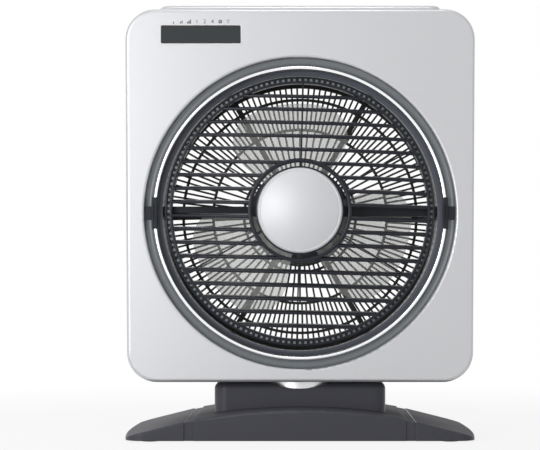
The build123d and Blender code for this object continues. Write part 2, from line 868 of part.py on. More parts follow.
# Neck: screws from inside the case down into the collar
with BuildPart() as collar_screws:
    with BuildSketch(Plane.XY.offset(case_bottom + case_wall)):
        with PolarLocations(collar_screw_circle, collar_screw_count, start_angle=collar_screw_start):
            Circle(screw_head_radius)
    extrude(amount=screw_head_height)
    with BuildSketch(Plane.XY.offset(case_bottom + case_wall)):
        with PolarLocations(collar_screw_circle, collar_screw_count, start_angle=collar_screw_start):
            Circle(screw_radius)
    extrude(amount=-collar_screw_length)
collar_screws.part.label = "collar_screws"
export_step(collar_screws.part, "parts/collar_screws.step")

# Rear case: shell, carrying grip, finger pocket, screw towers and posts
with BuildPart() as rear_case:
    with BuildSketch(facing(case_back)):
        case_outline(0)
    extrude(amount=rear_case_depth)
    fillet(rear_case.faces().sort_by(Axis.Y)[-1].edges(), rear_edge_radius)
    with BuildSketch(facing(back_inside)):
        case_outline(case_wall)
    extrude(amount=rear_case_depth, mode=Mode.SUBTRACT)
    with BuildSketch(Plane.XY.offset(case_top - case_wall)):
        with Locations((0, grip_middle)):
            RectangleRounded(grip_width, grip_depth, grip_corner_radius)
    extrude(amount=case_wall + grip_height)
    fillet(rear_case.faces().sort_by(Axis.Z)[-1].edges(), grip_edge_radius)
    with BuildSketch(Plane.XY.offset(case_top - case_wall)):
        with Locations((0, grip_middle)):
            RectangleRounded(
                grip_width - 2 * grip_inset,
                grip_depth - 2 * grip_inset,
                grip_corner_radius - grip_inset,
            )
    extrude(amount=grip_height + case_wall - grip_roof, mode=Mode.SUBTRACT)
    with BuildSketch(facing(case_back + case_wall / 2)):
        with Locations((0, pocket_middle)):
            Rectangle(pocket_width + 2 * case_wall, pocket_height + 2 * case_wall)
    extrude(amount=pocket_depth + case_wall / 2)
    with BuildSketch(facing(case_back)):
        with Locations((0, pocket_middle)):
            Rectangle(pocket_width, pocket_height)
    extrude(amount=pocket_depth, mode=Mode.SUBTRACT)
    with BuildSketch(facing(back_inside)):
        with Locations(*tower_places):
            Circle(tower_radius)
    extrude(amount=tower_split - back_inside)
    with BuildSketch(facing(case_back)):
        with Locations(*tower_places):
            Circle(screw_head_radius + pocket_gap)
    extrude(amount=screw_land - case_back, mode=Mode.SUBTRACT)
    with BuildSketch(facing(case_back)):
        with Locations(*tower_places):
            Circle(screw_hole_radius)
    extrude(amount=tower_split - case_back, mode=Mode.SUBTRACT)
    with BuildSketch(facing(case_back, fan_height)):
        Circle(rear_opening_radius)
    extrude(amount=case_wall, mode=Mode.SUBTRACT)
    with BuildSketch(facing(back_inside, power_place)):
        with Locations((power_board_side, 0)):
            with GridLocations(power_post_pitch, power_post_rise, 2, 2):
                Circle(power_post_radius)
    extrude(amount=power_board_post)
    with BuildSketch(Plane.XY.offset(case_top)):
        with Locations((window_centre, -deck_forward)):
            Rectangle(deck_width + 2 * window_gap, deck_depth + 2 * window_gap)
    extrude(amount=-case_wall, mode=Mode.SUBTRACT)
    with BuildSketch(Plane.XY.offset(case_bottom)):
        Circle(tube_radius + pocket_gap)
        with PolarLocations(collar_screw_circle, collar_screw_count, start_angle=collar_screw_start):
            Circle(screw_hole_radius)
    extrude(amount=case_wall, mode=Mode.SUBTRACT)
rear_case.part.label = "rear_case"
export_step(rear_case.part, "parts/rear_case.step")

# Front panel: shallow silver shell with the round opening, its lip and shelf
with BuildPart() as front_panel:
    with BuildSketch(facing(parting)):
        case_outline(0)
    extrude(amount=panel_depth)
    fillet(front_panel.faces().sort_by(Axis.Y)[0].edges(), panel_edge_radius)
    with BuildSketch(facing(parting)):
        case_outline(case_wall)
    extrude(amount=panel_depth - case_wall, mode=Mode.SUBTRACT)
    with BuildSketch(facing(shelf_top - panel_shelf_thickness, fan_height)):
        Circle(panel_opening_radius + panel_lip_wall)
    extrude(amount=panel_inside - shelf_top + panel_shelf_thickness)
    with BuildSketch(facing(shelf_top, fan_height)):
        Circle(panel_opening_radius)
    extrude(amount=panel_front - shelf_top, mode=Mode.SUBTRACT)
    with BuildSketch(facing(shelf_top - panel_shelf_thickness, fan_height)):
        Circle(panel_opening_radius - panel_shelf_width)
    extrude(amount=panel_shelf_thickness, mode=Mode.SUBTRACT)
    opening_edges = front_panel.faces().sort_by(Axis.Y)[0].edges().filter_by(GeomType.CIRCLE)
    fillet(opening_edges.sort_by(SortBy.RADIUS)[-1], rolled_edge_radius)
    with BuildSketch(facing(panel_front, window_place)):
        with Locations((window_centre, 0)):
            RectangleRounded(window_width, window_tall, window_corner)
    extrude(amount=-case_wall, mode=Mode.SUBTRACT)
    with BuildSketch(facing(panel_inside, window_place)):
        with Locations((window_centre, 0)):
            with GridLocations(display_post_pitch, 0, 2, 1):
                Circle(display_post_radius)
    extrude(amount=-display_board_setback)
    with BuildSketch(facing(panel_inside)):
        with Locations(*tower_places):
            Circle(tower_radius)
    extrude(amount=tower_split - panel_inside)
    with BuildSketch(facing(tower_split)):
        with Locations(*tower_places):
            Circle(screw_radius + press_gap)
    extrude(amount=case_screw_bite + seat_gap, mode=Mode.SUBTRACT)
    with BuildSketch(facing(latch_pocket_floor, fan_height)):
        with GridLocations(2 * panel_opening_radius, 0, 2, 1):
            Rectangle(2 * (latch_tongue_reach + pocket_gap), latch_tongue_length + 2 * pocket_gap)
    extrude(amount=latch_tongue_thickness + 2 * seat_gap, mode=Mode.SUBTRACT)
front_panel.part.label = "front_panel"
export_step(front_panel.part, "parts/front_panel.step")

# Case: four long screws from behind
with BuildPart() as case_screws:
    with BuildSketch(facing(screw_land)):
        with Locations(*tower_places):
            Circle(screw_head_radius)
    extrude(amount=-screw_head_height)
    with BuildSketch(facing(screw_land)):
        with Locations(*tower_places):
            Circle(screw_radius)
    extrude(amount=tower_split - screw_land + case_screw_bite)
case_screws.part.label = "case_screws"
export_step(case_screws.part, "parts/case_screws.step")

# Air path: dark tube round the blades
with BuildPart() as air_shroud:
    with BuildSketch(facing(back_inside, fan_height)):
        Circle(shroud_outer)
        Circle(shroud_inner, mode=Mode.SUBTRACT)
    extrude(amount=ring_back + shroud_overlap - back_inside)
air_shroud.part.label = "air_shroud"
export_step(air_shroud.part, "parts/air_shroud.step")

# Guard ring: channel, bead seat, funnel and inner wall, with a pocket at each side for a latch
with BuildPart() as guard_ring:
    with BuildSketch(radius_plane):
        with BuildLine():
            ThreePointArc(
                (ring_outer, ring_front),
                ((ring_outer + channel_inner) / 2, channel_floor),
                (channel_inner, ring_front),
            )
            Polyline((channel_inner, ring_front), (channel_inner, seat_front), (seat_inner, seat_front))
            ThreePointArc(
                (seat_inner, seat_front),
                ((seat_inner + ring_inner) / 2 + funnel_sag, (seat_front + funnel_back) / 2 - funnel_sag),
                (ring_inner, funnel_back),
            )
            Polyline(
                (ring_inner, funnel_back),
                (ring_inner, ring_back),
                (ring_inner + ring_wall, ring_back),
                (ring_inner + ring_wall, ring_under - ring_wall),
                (seat_inner, ring_under),
                (ring_outer, ring_under),
                (ring_outer, ring_front),
            )
        make_face()
    revolve(axis=fan_axis)
    with BuildSketch(facing(latch_pocket_floor, fan_height)):
        with GridLocations(latch_pocket_inner + latch_pocket_outer, 0, 2, 1):
            Rectangle(latch_pocket_outer - latch_pocket_inner, latch_length + 2 * pocket_gap)
        with GridLocations(latch_outer + ring_outer, 0, 2, 1):
            Rectangle(ring_outer - latch_outer + 2 * ring_gap, latch_tongue_length + 2 * pocket_gap)
    extrude(amount=panel_front - latch_pocket_floor, mode=Mode.SUBTRACT)
guard_ring.part.label = "guard_ring"
export_step(guard_ring.part, "parts/guard_ring.step")

# Guard ring: bright half-round bead, broken at the two latches
with BuildPart() as chrome_trim:
    with BuildSketch(radius_plane):
        with Locations((bead_centre, seat_front)):
            Circle(bead_radius)
        with Locations((bead_centre, seat_front - bead_radius)):
            Rectangle(2 * bead_radius, 2 * bead_radius, mode=Mode.SUBTRACT)
    revolve(axis=fan_axis)
    with BuildSketch(facing(seat_front, fan_height)):
        Rectangle(2 * panel_opening_radius, latch_length + 2 * pocket_gap)
    extrude(amount=bead_radius, mode=Mode.SUBTRACT)
chrome_trim.part.label = "chrome_trim"
export_step(chrome_trim.part, "parts/chrome_trim.step")

# Guard ring: the two spring latches, each with a tongue into the panel's lip
for latch_name, side in (("left_latch", -1), ("right_latch", 1)):
    with BuildPart() as latch:
        with BuildSketch(facing(latch_floor, fan_height)):
            with Locations((side * bead_centre, 0)):
                Rectangle(latch_block_width, latch_length)
        extrude(amount=latch_block_height)
        fillet(latch.faces().sort_by(Axis.Y)[0].edges(), latch_edge_radius)
        with BuildSketch(facing(latch_floor, fan_height)):
            with Locations((side * (bead_centre + tongue_end) / 2, 0)):
                Rectangle(tongue_end - bead_centre, latch_tongue_length)
        extrude(amount=latch_tongue_thickness)
        with BuildSketch(facing(latch_floor + latch_block_height, fan_height)):
            with Locations((side * bead_centre, 0)):
                Rectangle(latch_grip_width, latch_grip_length)
        extrude(amount=-latch_grip_depth, mode=Mode.SUBTRACT)
    latch.part.label = latch_name
    export_step(latch.part, f"parts/{latch_name}.step")

# Louver bar: fixed across the opening, with a round seat for the louver motor
with BuildPart() as louver_bar:
    with BuildSketch(facing(bar_back, louver_height)):
        Rectangle(2 * ring_inner, bar_height)
        Circle(bar_boss_radius)
        with Locations((0, -louver_lift)):
            Circle(ring_inner - running_gap, mode=Mode.INTERSECT)
    extrude(amount=bar_depth)
louver_bar.part.label = "louver_bar"
export_step(louver_bar.part, "parts/louver_bar.step")

# Louver motor on the bar
with BuildPart() as louver_motor:
    with BuildSketch(facing(bar_front, louver_height)):
        Circle(louver_motor_radius)
    extrude(amount=louver_motor_length)
    fillet(louver_motor.faces().sort_by(Axis.Y)[0].edges(), louver_motor_edge)
    with BuildSketch(facing(louver_motor_front, louver_height)):
        Circle(louver_motor_nose_radius)
    extrude(amount=louver_motor_nose)
    with BuildSketch(facing(louver_motor_front + louver_motor_nose, louver_height)):
        Circle(louver_shaft_radius + running_gap)
    extrude(amount=-louver_shaft_engagement, mode=Mode.SUBTRACT)
louver_motor.part.label = "louver_motor"
export_step(louver_motor.part, "parts/louver_motor.step")

# Louver: shaft from the motor to the hub
with BuildPart() as louver_shaft:
    with BuildSketch(facing(louver_shaft_back, louver_height)):
        Circle(louver_shaft_radius)
    extrude(amount=hub_middle - louver_shaft_back)
louver_shaft.part.label = "louver_shaft"
export_step(louver_shaft.part, "parts/louver_shaft.step")

# Louver: domed grille of tilted slats with its rim, ribs and hub
with BuildPart() as louver_grille:
    with BuildSketch(slat_plane):
        for index in range(slat_count):
            rise = (index - (slat_count - 1) / 2) * slat_pitch
            with Locations((sqrt(dome_radius ** 2 - rise ** 2), rise)):
                Rectangle(slat_depth, slat_thickness, rotation=-slat_tilt)
    revolve(axis=dome_axis, revolution_arc=2 * slat_sweep)
    with BuildSketch(facing(louver_back - trim_overrun, louver_height)):
        Circle(louver_radius)
    extrude(amount=dome_height + slat_depth + 2 * trim_overrun, mode=Mode.INTERSECT)
    with BuildSketch(facing(louver_back - trim_overrun, louver_height)):
        Circle(hub_ring_radius - hub_ring_wall / 2)
    extrude(amount=dome_height + slat_depth + 2 * trim_overrun, mode=Mode.SUBTRACT)
    for index in range(spoke_count):
        turn = radians(spoke_first_angle + 360 * index / spoke_count)
        spoke_plane = Plane(
            origin=(0, 0, louver_height),
            x_dir=(cos(turn), 0, sin(turn)),
            z_dir=(sin(turn), 0, -cos(turn)),
        )
        with BuildSketch(spoke_plane):
            with BuildLine():
                front_line = dome_points(spoke_front)
                back_line = dome_points(spoke_front - spoke_depth)
                Polyline(*front_line, *reversed(back_line), close=True)
            make_face()
        extrude(amount=spoke_width / 2, both=True)
    with BuildSketch(louver_plane):
        with Locations((louver_radius, louver_middle)):
            Rectangle(rim_inner_wall, slat_depth + 2 * rim_cover)
        with Locations(((louver_radius + rim_outer_radius) / 2, louver_middle)):
            Rectangle(rim_outer_radius - louver_radius, rim_floor)
        with Locations((rim_outer_radius - rim_outer_wall / 2, louver_middle)):
            Rectangle(rim_outer_wall, rim_outer_depth)
        with Locations((hub_ring_radius - hub_ring_wall / 2, hub_middle)):
            Rectangle(hub_ring_wall, slat_depth + 2 * rim_cover)
    revolve(axis=louver_axis)
    with BuildSketch(facing(hub_middle, louver_height)):
        Circle(hub_plate_radius)
        with PolarLocations(hub_ring_radius / 2, spoke_count, start_angle=spoke_first_angle):
            Rectangle(hub_ring_radius - hub_ring_wall, hub_spoke_width)
    extrude(amount=hub_plate_thickness)
    with BuildSketch(facing(hub_middle, louver_height)):
        Circle(hub_boss_radius)
    extrude(amount=-hub_boss_length)
    with BuildSketch(facing(hub_middle, louver_height)):
        Circle(louver_shaft_radius + press_gap)
    extrude(amount=-hub_boss_length, mode=Mode.SUBTRACT)
louver_at_rest = louver_grille.part.rotate(louver_axis, -louver_turn)
louver_at_rest.label = "louver_grille"
export_step(louver_at_rest, "parts/louver_grille.step")

# Louver: domed centre cap
with BuildPart() as louver_cap:
    with BuildSketch(louver_plane):
        with BuildLine():
            Polyline((0, cap_back), (cap_radius, cap_back), (cap_radius, cap_back + cap_edge))
            ThreePointArc(
                (cap_radius, cap_back + cap_edge),
                (cap_radius / 2, cap_front - cap_sphere + sqrt(cap_sphere ** 2 - cap_radius ** 2 / 4)),
                (0, cap_front),
            )
            Line((0, cap_front), (0, cap_back))
        make_face()
    revolve(axis=louver_axis)
    with BuildSketch(facing(cap_back, louver_height)):
        Circle(cap_radius - cap_wall)
        Circle(hub_boss_radius, mode=Mode.SUBTRACT)
    extrude(amount=cap_edge - cap_wall, mode=Mode.SUBTRACT)
louver_cap.part.label = "louver_cap"
export_step(louver_cap.part, "parts/louver_cap.step")

# Rear guard: flat grille of radial bars with thick ribs and the motor's plate
with BuildPart() as rear_guard:
    with BuildSketch(facing(case_back, fan_height)):
        Circle(guard_rim_outer)
    extrude(amount=guard_depth)
    with BuildSketch(facing(case_back, fan_height)):
        bar_gaps(
            motor_plate_radius,
            guard_inner_radius - guard_ring_width / 2,
            guard_bars_inside,
            guard_bar_width,
        )
        bar_gaps(
            guard_inner_radius + guard_ring_width / 2,
            guard_middle_radius - guard_ring_width / 2,
            guard_bars_inside,
            guard_bar_width,
        )
        bar_gaps(
            guard_middle_radius + guard_ring_width / 2,
            guard_outer_radius - guard_ring_width / 2,
            guard_bars_outside,
            guard_bar_width,
        )
        bar_gaps(
            guard_outer_radius + guard_ring_width / 2,
            guard_open_radius,
            guard_bars_outside,
            guard_bar_width,
        )
    extrude(amount=guard_depth, mode=Mode.SUBTRACT)
    with BuildSketch(facing(case_back, fan_height)):
        with PolarLocations((motor_plate_radius + guard_open_radius) / 2, guard_rib_count):
            Rectangle(guard_open_radius - motor_plate_radius + guard_rim_width, guard_rib_width)
    extrude(amount=guard_rib_depth)
    with BuildSketch(facing(back_inside, fan_height)):
        Circle(guard_flange_outer)
        Circle(guard_open_radius + guard_ring_width / 2, mode=Mode.SUBTRACT)
    extrude(amount=guard_flange_thickness)
    with BuildSketch(facing(case_back, fan_height)):
        with PolarLocations(motor_bolt_circle, motor_bolt_count, start_angle=motor_bolt_start):
            Circle(screw_hole_radius)
    extrude(amount=guard_depth, mode=Mode.SUBTRACT)
rear_guard.part.label = "rear_guard"
export_step(rear_guard.part, "parts/rear_guard.step")

# Fan motor: rear shell
with BuildPart() as motor_rear_shell:
    with BuildSketch(facing(motor_back, fan_height)):
        Circle(motor_radius)
    extrude(amount=motor_rear_length)
    with BuildSketch(facing(motor_back + motor_wall, fan_height)):
        Circle(motor_cavity_radius)
        Circle(bearing_radius + bearing_boss_wall, mode=Mode.SUBTRACT)
    extrude(amount=motor_rear_length, mode=Mode.SUBTRACT)
    with BuildSketch(facing(motor_back + motor_wall, fan_height)):
        Circle(bearing_radius + press_gap)
    extrude(amount=motor_rear_length, mode=Mode.SUBTRACT)
    with BuildSketch(facing(motor_back + motor_wall + bearing_length, fan_height)):
        Circle(motor_cavity_radius)
    extrude(amount=motor_rear_length, mode=Mode.SUBTRACT)
    with BuildSketch(facing(motor_back, fan_height)):
        with PolarLocations(motor_bolt_circle, motor_bolt_count, start_angle=motor_bolt_start):
            Circle(screw_hole_radius)
    extrude(amount=motor_rear_length, mode=Mode.SUBTRACT)
motor_rear_shell.part.label = "motor_rear_shell"
export_step(motor_rear_shell.part, "parts/motor_rear_shell.step")

# Fan motor: stator between the shells
with BuildPart() as motor_stator:
    with BuildSketch(facing(stator_back, fan_height)):
        Circle(motor_radius)
        Circle(rotor_radius + rotor_gap, mode=Mode.SUBTRACT)
        with PolarLocations(motor_bolt_circle, motor_bolt_count, start_angle=motor_bolt_start):
            Circle(screw_hole_radius, mode=Mode.SUBTRACT)
    extrude(amount=stator_length)
motor_stator.part.label = "motor_stator"
export_step(motor_stator.part, "parts/motor_stator.step")

# Fan motor: front shell
with BuildPart() as motor_front_shell:
    with BuildSketch(facing(stator_front, fan_height)):
        Circle(motor_radius)
    extrude(amount=motor_front_length)
    with BuildSketch(facing(stator_front, fan_height)):
        Circle(motor_cavity_radius)
        Circle(bearing_radius + bearing_boss_wall, mode=Mode.SUBTRACT)
    extrude(amount=motor_front_length - motor_wall, mode=Mode.SUBTRACT)
    with BuildSketch(facing(stator_front, fan_height)):
        Circle(motor_cavity_radius)
    extrude(amount=motor_front_length - bearing_length, mode=Mode.SUBTRACT)
    with BuildSketch(facing(stator_front, fan_height)):
        Circle(bearing_radius + press_gap)
        with PolarLocations(motor_bolt_circle, motor_bolt_count, start_angle=motor_bolt_start):
            Circle(screw_hole_radius)
    extrude(amount=motor_front_length, mode=Mode.SUBTRACT)
motor_front_shell.part.label = "motor_front_shell"
export_step(motor_front_shell.part, "parts/motor_front_shell.step")

# Fan motor: the two plain bearings
for bearing_name, bearing_back in (
    ("rear_bearing", motor_back + motor_wall),
    ("front_bearing", motor_front - bearing_length),
):
    with BuildPart() as bearing:
        with BuildSketch(facing(bearing_back, fan_height)):
            Circle(bearing_radius)
            Circle(rotor_shaft_radius + running_gap, mode=Mode.SUBTRACT)
        extrude(amount=bearing_length)
    bearing.part.label = bearing_name
    export_step(bearing.part, f"parts/{bearing_name}.step")

# Fan motor: long screws through both shells into the guard's plate
with BuildPart() as motor_screws:
    with BuildSketch(facing(motor_front, fan_height)):
        with PolarLocations(motor_bolt_circle, motor_bolt_count, start_angle=motor_bolt_start):
            Circle(screw_head_radius)
    extrude(amount=screw_head_height)
    with BuildSketch(facing(motor_front, fan_height)):
        with PolarLocations(motor_bolt_circle, motor_bolt_count, start_angle=motor_bolt_start):
            Circle(screw_radius)
    extrude(amount=case_back - motor_front + seat_gap)
motor_screws.part.label = "motor_screws"
export_step(motor_screws.part, "parts/motor_screws.step")

# Fan wheel: rotor, shaft, blades and nut
with BuildPart() as motor_rotor:
    with BuildSketch(facing(stator_back - rotor_overhang, fan_height)):
        Circle(rotor_radius)
        Circle(rotor_shaft_radius + press_gap, mode=Mode.SUBTRACT)
    extrude(amount=stator_length + 2 * rotor_overhang)
motor_rotor.part.label = "motor_rotor"
export_step(motor_rotor.part, "parts/motor_rotor.step")

with BuildPart() as rotor_shaft:
    with BuildSketch(facing(motor_back + motor_wall + seat_gap, fan_height)):
        Circle(rotor_shaft_radius)
    extrude(amount=blade_hub_front + blade_nut_bite - motor_back - motor_wall - seat_gap)
rotor_shaft.part.label = "rotor_shaft"
export_step(rotor_shaft.part, "parts/rotor_shaft.step")

with BuildPart() as blade_wheel:
    for index in range(blade_count):
        turn = radians(blade_first_angle + 360 * index / blade_count)
        for reach in (blade_root, blade_radius + blade_overrun):
            half_width = reach * tan(radians(blade_half_angle))
            section_plane = Plane(
                origin=(reach * cos(turn), -blade_middle, fan_height + reach * sin(turn)),
                x_dir=(-sin(turn), 0, cos(turn)),
                z_dir=(cos(turn), 0, sin(turn)),
            )
            with BuildSketch(section_plane):
                Rectangle(2 * half_width, blade_thickness, rotation=degrees(atan2(blade_rise, half_width)))
        loft()
    with BuildSketch(facing(blade_hub_back - trim_overrun, fan_height)) as petals:
        for index in range(blade_count):
            turn = blade_first_angle + 360 * index / blade_count
            edges = [radians(turn + lean) for lean in (-blade_half_angle, 0, blade_half_angle)]
            tip = [(blade_radius * cos(angle), blade_radius * sin(angle)) for angle in edges]
            root = [(blade_root * cos(angle), blade_root * sin(angle)) for angle in edges]
            with BuildLine():
                ThreePointArc(*tip)
                Polyline(tip[2], root[2], root[0], tip[0])
            make_face()
        tip_corners = petals.vertices().filter_by(lambda corner: hypot(corner.X, corner.Y) > 2 * blade_root)
        fillet(tip_corners, blade_tip_rounding)
    extrude(amount=blade_hub_depth + 2 * trim_overrun, mode=Mode.INTERSECT)
    with BuildSketch(facing(blade_hub_back, fan_height)):
        Circle(blade_hub_radius)
    extrude(amount=blade_hub_depth)
    fillet(blade_wheel.faces().sort_by(Axis.Y)[0].edges(), blade_hub_wall)
    with BuildSketch(facing(blade_hub_back, fan_height)):
        Circle(blade_hub_radius - blade_hub_wall)
        Circle(blade_hub_boss_radius, mode=Mode.SUBTRACT)
    extrude(amount=blade_hub_depth - blade_hub_wall, mode=Mode.SUBTRACT)
    with BuildSketch(facing(blade_hub_back, fan_height)):
        Circle(rotor_shaft_radius + press_gap)
    extrude(amount=blade_hub_depth, mode=Mode.SUBTRACT)
blade_wheel.part.label = "blade_wheel"
export_step(blade_wheel.part, "parts/blade_wheel.step")

with BuildPart() as blade_nut:
    with BuildSketch(facing(blade_hub_front, fan_height)):
        Circle(blade_nut_radius)
        with PolarLocations(blade_nut_radius, blade_nut_flutes):
            Circle(blade_nut_flute_radius, mode=Mode.SUBTRACT)
    extrude(amount=blade_nut_height)
    with BuildSketch(facing(blade_hub_front, fan_height)):
        Circle(rotor_shaft_radius + press_gap)
    extrude(amount=blade_nut_bite + seat_gap, mode=Mode.SUBTRACT)
blade_nut.part.label = "blade_nut"
export_step(blade_nut.part, "parts/blade_nut.step")

# Display: dark window with a flange behind the panel
with BuildPart() as display_window:
    with BuildSketch(facing(panel_inside, window_place)):
        with Locations((window_centre, 0)):
            RectangleRounded(window_width - 2 * window_gap, window_tall - 2 * window_gap, window_corner)
    extrude(amount=case_wall - window_recess)
    with BuildSketch(facing(panel_inside, window_place)):
        with Locations((window_centre, 0)):
            Rectangle(window_width + 2 * window_flange, window_tall + 2 * window_flange)
    extrude(amount=-window_flange_thickness)
display_window.part.label = "display_window"
export_step(display_window.part, "parts/display_window.step")

# Display: circuit board on two posts, with a row of lamps
with BuildPart() as display_board:
    with BuildSketch(facing(display_board_front, window_place)):
        with Locations((window_centre, 0)):
            Rectangle(display_post_pitch + 2 * display_board_overhang, window_tall + 2 * window_flange)
    extrude(amount=-board_thickness)
display_board.part.label = "display_board"
export_step(display_board.part, "parts/display_board.step")

with BuildPart() as indicator_leds:
    with BuildSketch(facing(display_board_front, window_place)):
        with Locations((window_centre, 0)):
            with GridLocations(led_pitch, 0, led_count, 1):
                Circle(led_radius)
    extrude(amount=led_height)
indicator_leds.part.label = "indicator_leds"
export_step(indicator_leds.part, "parts/indicator_leds.step")

# Keys: dark deck in the top of the rear case, with two posts for the switch board
with BuildPart() as control_deck:
    with BuildSketch(Plane.XY.offset(deck_under)):
        with Locations((window_centre, -deck_forward)):
            Rectangle(deck_width, deck_depth)
            with GridLocations(key_pitch, 0, len(key_names), 1):
                RectangleRounded(
                    key_width + 2 * key_gap,
                    key_depth + 2 * key_gap,
                    key_corner,
                    mode=Mode.SUBTRACT,
                )
    extrude(amount=deck_thickness)
    with BuildSketch(Plane.XY.offset(deck_under)):
        with Locations((window_centre, -deck_forward)):
            with GridLocations(deck_post_pitch, 0, 2, 1):
                Circle(deck_post_radius)
    extrude(amount=switch_board_top - deck_under)
control_deck.part.label = "control_deck"
export_step(control_deck.part, "parts/control_deck.step")

# Keys: board with one switch under each key
with BuildPart() as switch_board:
    with BuildSketch(Plane.XY.offset(switch_board_top)):
        with Locations((window_centre, -deck_forward)):
            Rectangle(deck_width, deck_depth)
    extrude(amount=-board_thickness)
    with BuildSketch(Plane.XY.offset(switch_board_top)):
        with Locations((window_centre, -deck_forward)):
            with GridLocations(key_pitch, 0, len(key_names), 1):
                Rectangle(switch_width, switch_width)
    extrude(amount=switch_height)
switch_board.part.label = "switch_board"
export_step(switch_board.part, "parts/switch_board.step")

# Keys: five caps, each held up under the deck by its flange
for index, key_name in enumerate(key_names):
    key_place = (window_centre - key_row_half + index * key_pitch, -deck_forward)
    with BuildPart() as key:
        with BuildSketch(Plane.XY.offset(key_flange_top)):
            with Locations(key_place):
                RectangleRounded(key_width, key_depth, key_corner - key_gap)
        extrude(amount=deck_top + key_stand - key_flange_top)
        fillet(key.faces().sort_by(Axis.Z)[-1].edges(), key_edge)
        with BuildSketch(Plane.XY.offset(key_flange_top)):
            with Locations(key_place):
                Rectangle(key_width + 2 * key_flange, key_depth + 2 * key_flange)
        extrude(amount=-key_flange_thickness)
        with BuildSketch(Plane.XY.offset(key_flange_top - key_flange_thickness)):
            with Locations(key_place):
                Rectangle(key_stem, key_stem)
        extrude(amount=-key_stem_length)
    key.part.label = key_name
    export_step(key.part, f"parts/{key_name}.step")

# Electronics: power board on four posts and the fan motor's capacitor on it
with BuildPart() as power_board:
    with BuildSketch(facing(board_back, power_place)):
        with Locations((power_board_side, 0)):
            Rectangle(power_board_width, power_board_tall)
    extrude(amount=board_thickness)
power_board.part.label = "power_board"
export_step(power_board.part, "parts/power_board.step")

with BuildPart() as motor_capacitor:
    with BuildSketch(facing(board_back + board_thickness, power_place)):
        with Locations((power_board_side, 0)):
            Rectangle(capacitor_width, capacitor_tall)
    extrude(amount=capacitor_depth)
motor_capacitor.part.label = "motor_capacitor"
export_step(motor_capacitor.part, "parts/motor_capacitor.step")
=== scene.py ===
from math import asin, atan2, cos, hypot, pi, radians, sin, sqrt

import bmesh
import bpy
from mathutils import Matrix, Vector


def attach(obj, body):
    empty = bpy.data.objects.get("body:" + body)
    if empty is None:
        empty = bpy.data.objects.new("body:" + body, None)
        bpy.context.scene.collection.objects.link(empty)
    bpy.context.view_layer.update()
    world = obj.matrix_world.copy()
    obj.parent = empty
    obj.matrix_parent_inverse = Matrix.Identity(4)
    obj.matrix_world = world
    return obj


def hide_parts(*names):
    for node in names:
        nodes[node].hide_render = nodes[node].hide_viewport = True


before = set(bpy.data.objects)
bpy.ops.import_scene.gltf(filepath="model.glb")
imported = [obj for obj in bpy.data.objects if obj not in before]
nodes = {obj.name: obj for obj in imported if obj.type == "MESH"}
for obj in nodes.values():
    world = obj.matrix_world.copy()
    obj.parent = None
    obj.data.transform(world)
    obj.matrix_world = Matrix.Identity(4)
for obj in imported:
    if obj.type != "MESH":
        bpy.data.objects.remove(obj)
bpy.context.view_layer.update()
scene = bpy.context.scene
scene.view_settings.view_transform = "Standard"

# Floor: a plain white sheet under the base. It keeps a faint shadow near the fan,
# and farther out it runs into the white room without an edge.
floor_reach = 6.0
floor_tone = 0.86
shadow_reach = 0.42
white_reach = 0.95
white_share = (0.86, 1.0)


def seen_or_mirrored(tree):
    """Is 1 where the camera looks, straight or by way of gloss or glass, and 0 for all other light."""
    path = tree.nodes.new("ShaderNodeLightPath")
    seen = path.outputs["Is Camera Ray"]
    for ray in ("Is Glossy Ray", "Is Transmission Ray"):
        either = tree.nodes.new("ShaderNodeMath")
        either.operation = "MAXIMUM"
        tree.links.new(seen, either.inputs[0])
        tree.links.new(path.outputs[ray], either.inputs[1])
        seen = either.outputs["Value"]
    return seen


floor_mesh = bpy.data.meshes.new("floor")
floor_build = bmesh.new()
bmesh.ops.create_grid(floor_build, x_segments=1, y_segments=1, size=floor_reach)
floor_build.to_mesh(floor_mesh)
floor_build.free()
floor = bpy.data.objects.new("floor", floor_mesh)
scene.collection.objects.link(floor)
floor_material = bpy.data.materials.new("floor_white")
floor_material.use_nodes = True
tree = floor_material.node_tree
tree.nodes.clear()
place = tree.nodes.new("ShaderNodeTexCoord")
away = tree.nodes.new("ShaderNodeVectorMath")
away.operation = "LENGTH"
tree.links.new(place.outputs["Object"], away.inputs[0])
share = tree.nodes.new("ShaderNodeMapRange")
share.inputs["From Min"].default_value = shadow_reach
share.inputs["From Max"].default_value = white_reach
share.inputs["To Min"].default_value, share.inputs["To Max"].default_value = white_share
tree.links.new(away.outputs["Value"], share.inputs["Value"])
seen_share = tree.nodes.new("ShaderNodeMath")
seen_share.operation = "MULTIPLY"
tree.links.new(seen_or_mirrored(tree), seen_share.inputs[0])
tree.links.new(share.outputs["Result"], seen_share.inputs[1])
cloth = tree.nodes.new("ShaderNodeBsdfDiffuse")
cloth.inputs["Color"].default_value = (floor_tone, floor_tone, floor_tone, 1.0)
glow = tree.nodes.new("ShaderNodeEmission")
mix = tree.nodes.new("ShaderNodeMixShader")
tree.links.new(seen_share.outputs["Value"], mix.inputs["Fac"])
tree.links.new(cloth.outputs[0], mix.inputs[1])
tree.links.new(glow.outputs[0], mix.inputs[2])
floor_out = tree.nodes.new("ShaderNodeOutputMaterial")
tree.links.new(mix.outputs[0], floor_out.inputs["Surface"])
floor_mesh.materials.append(floor_material)

# Base: an arched middle and two tapering end feet, injection moulded in dark grey plastic with a fine eroded
# grain, coarser on top than on the sides, plugged together at the groove lines and screwed to the bottom plate.
base_grey = (0.064, 0.065, 0.079)
top_facing = (0.80, 0.93)
top_roughness = 0.68
grain_detail = 3.0
grain_depth = 0.0002
tone_ends = (0.3, 0.7)
gloss_spread = 0.15


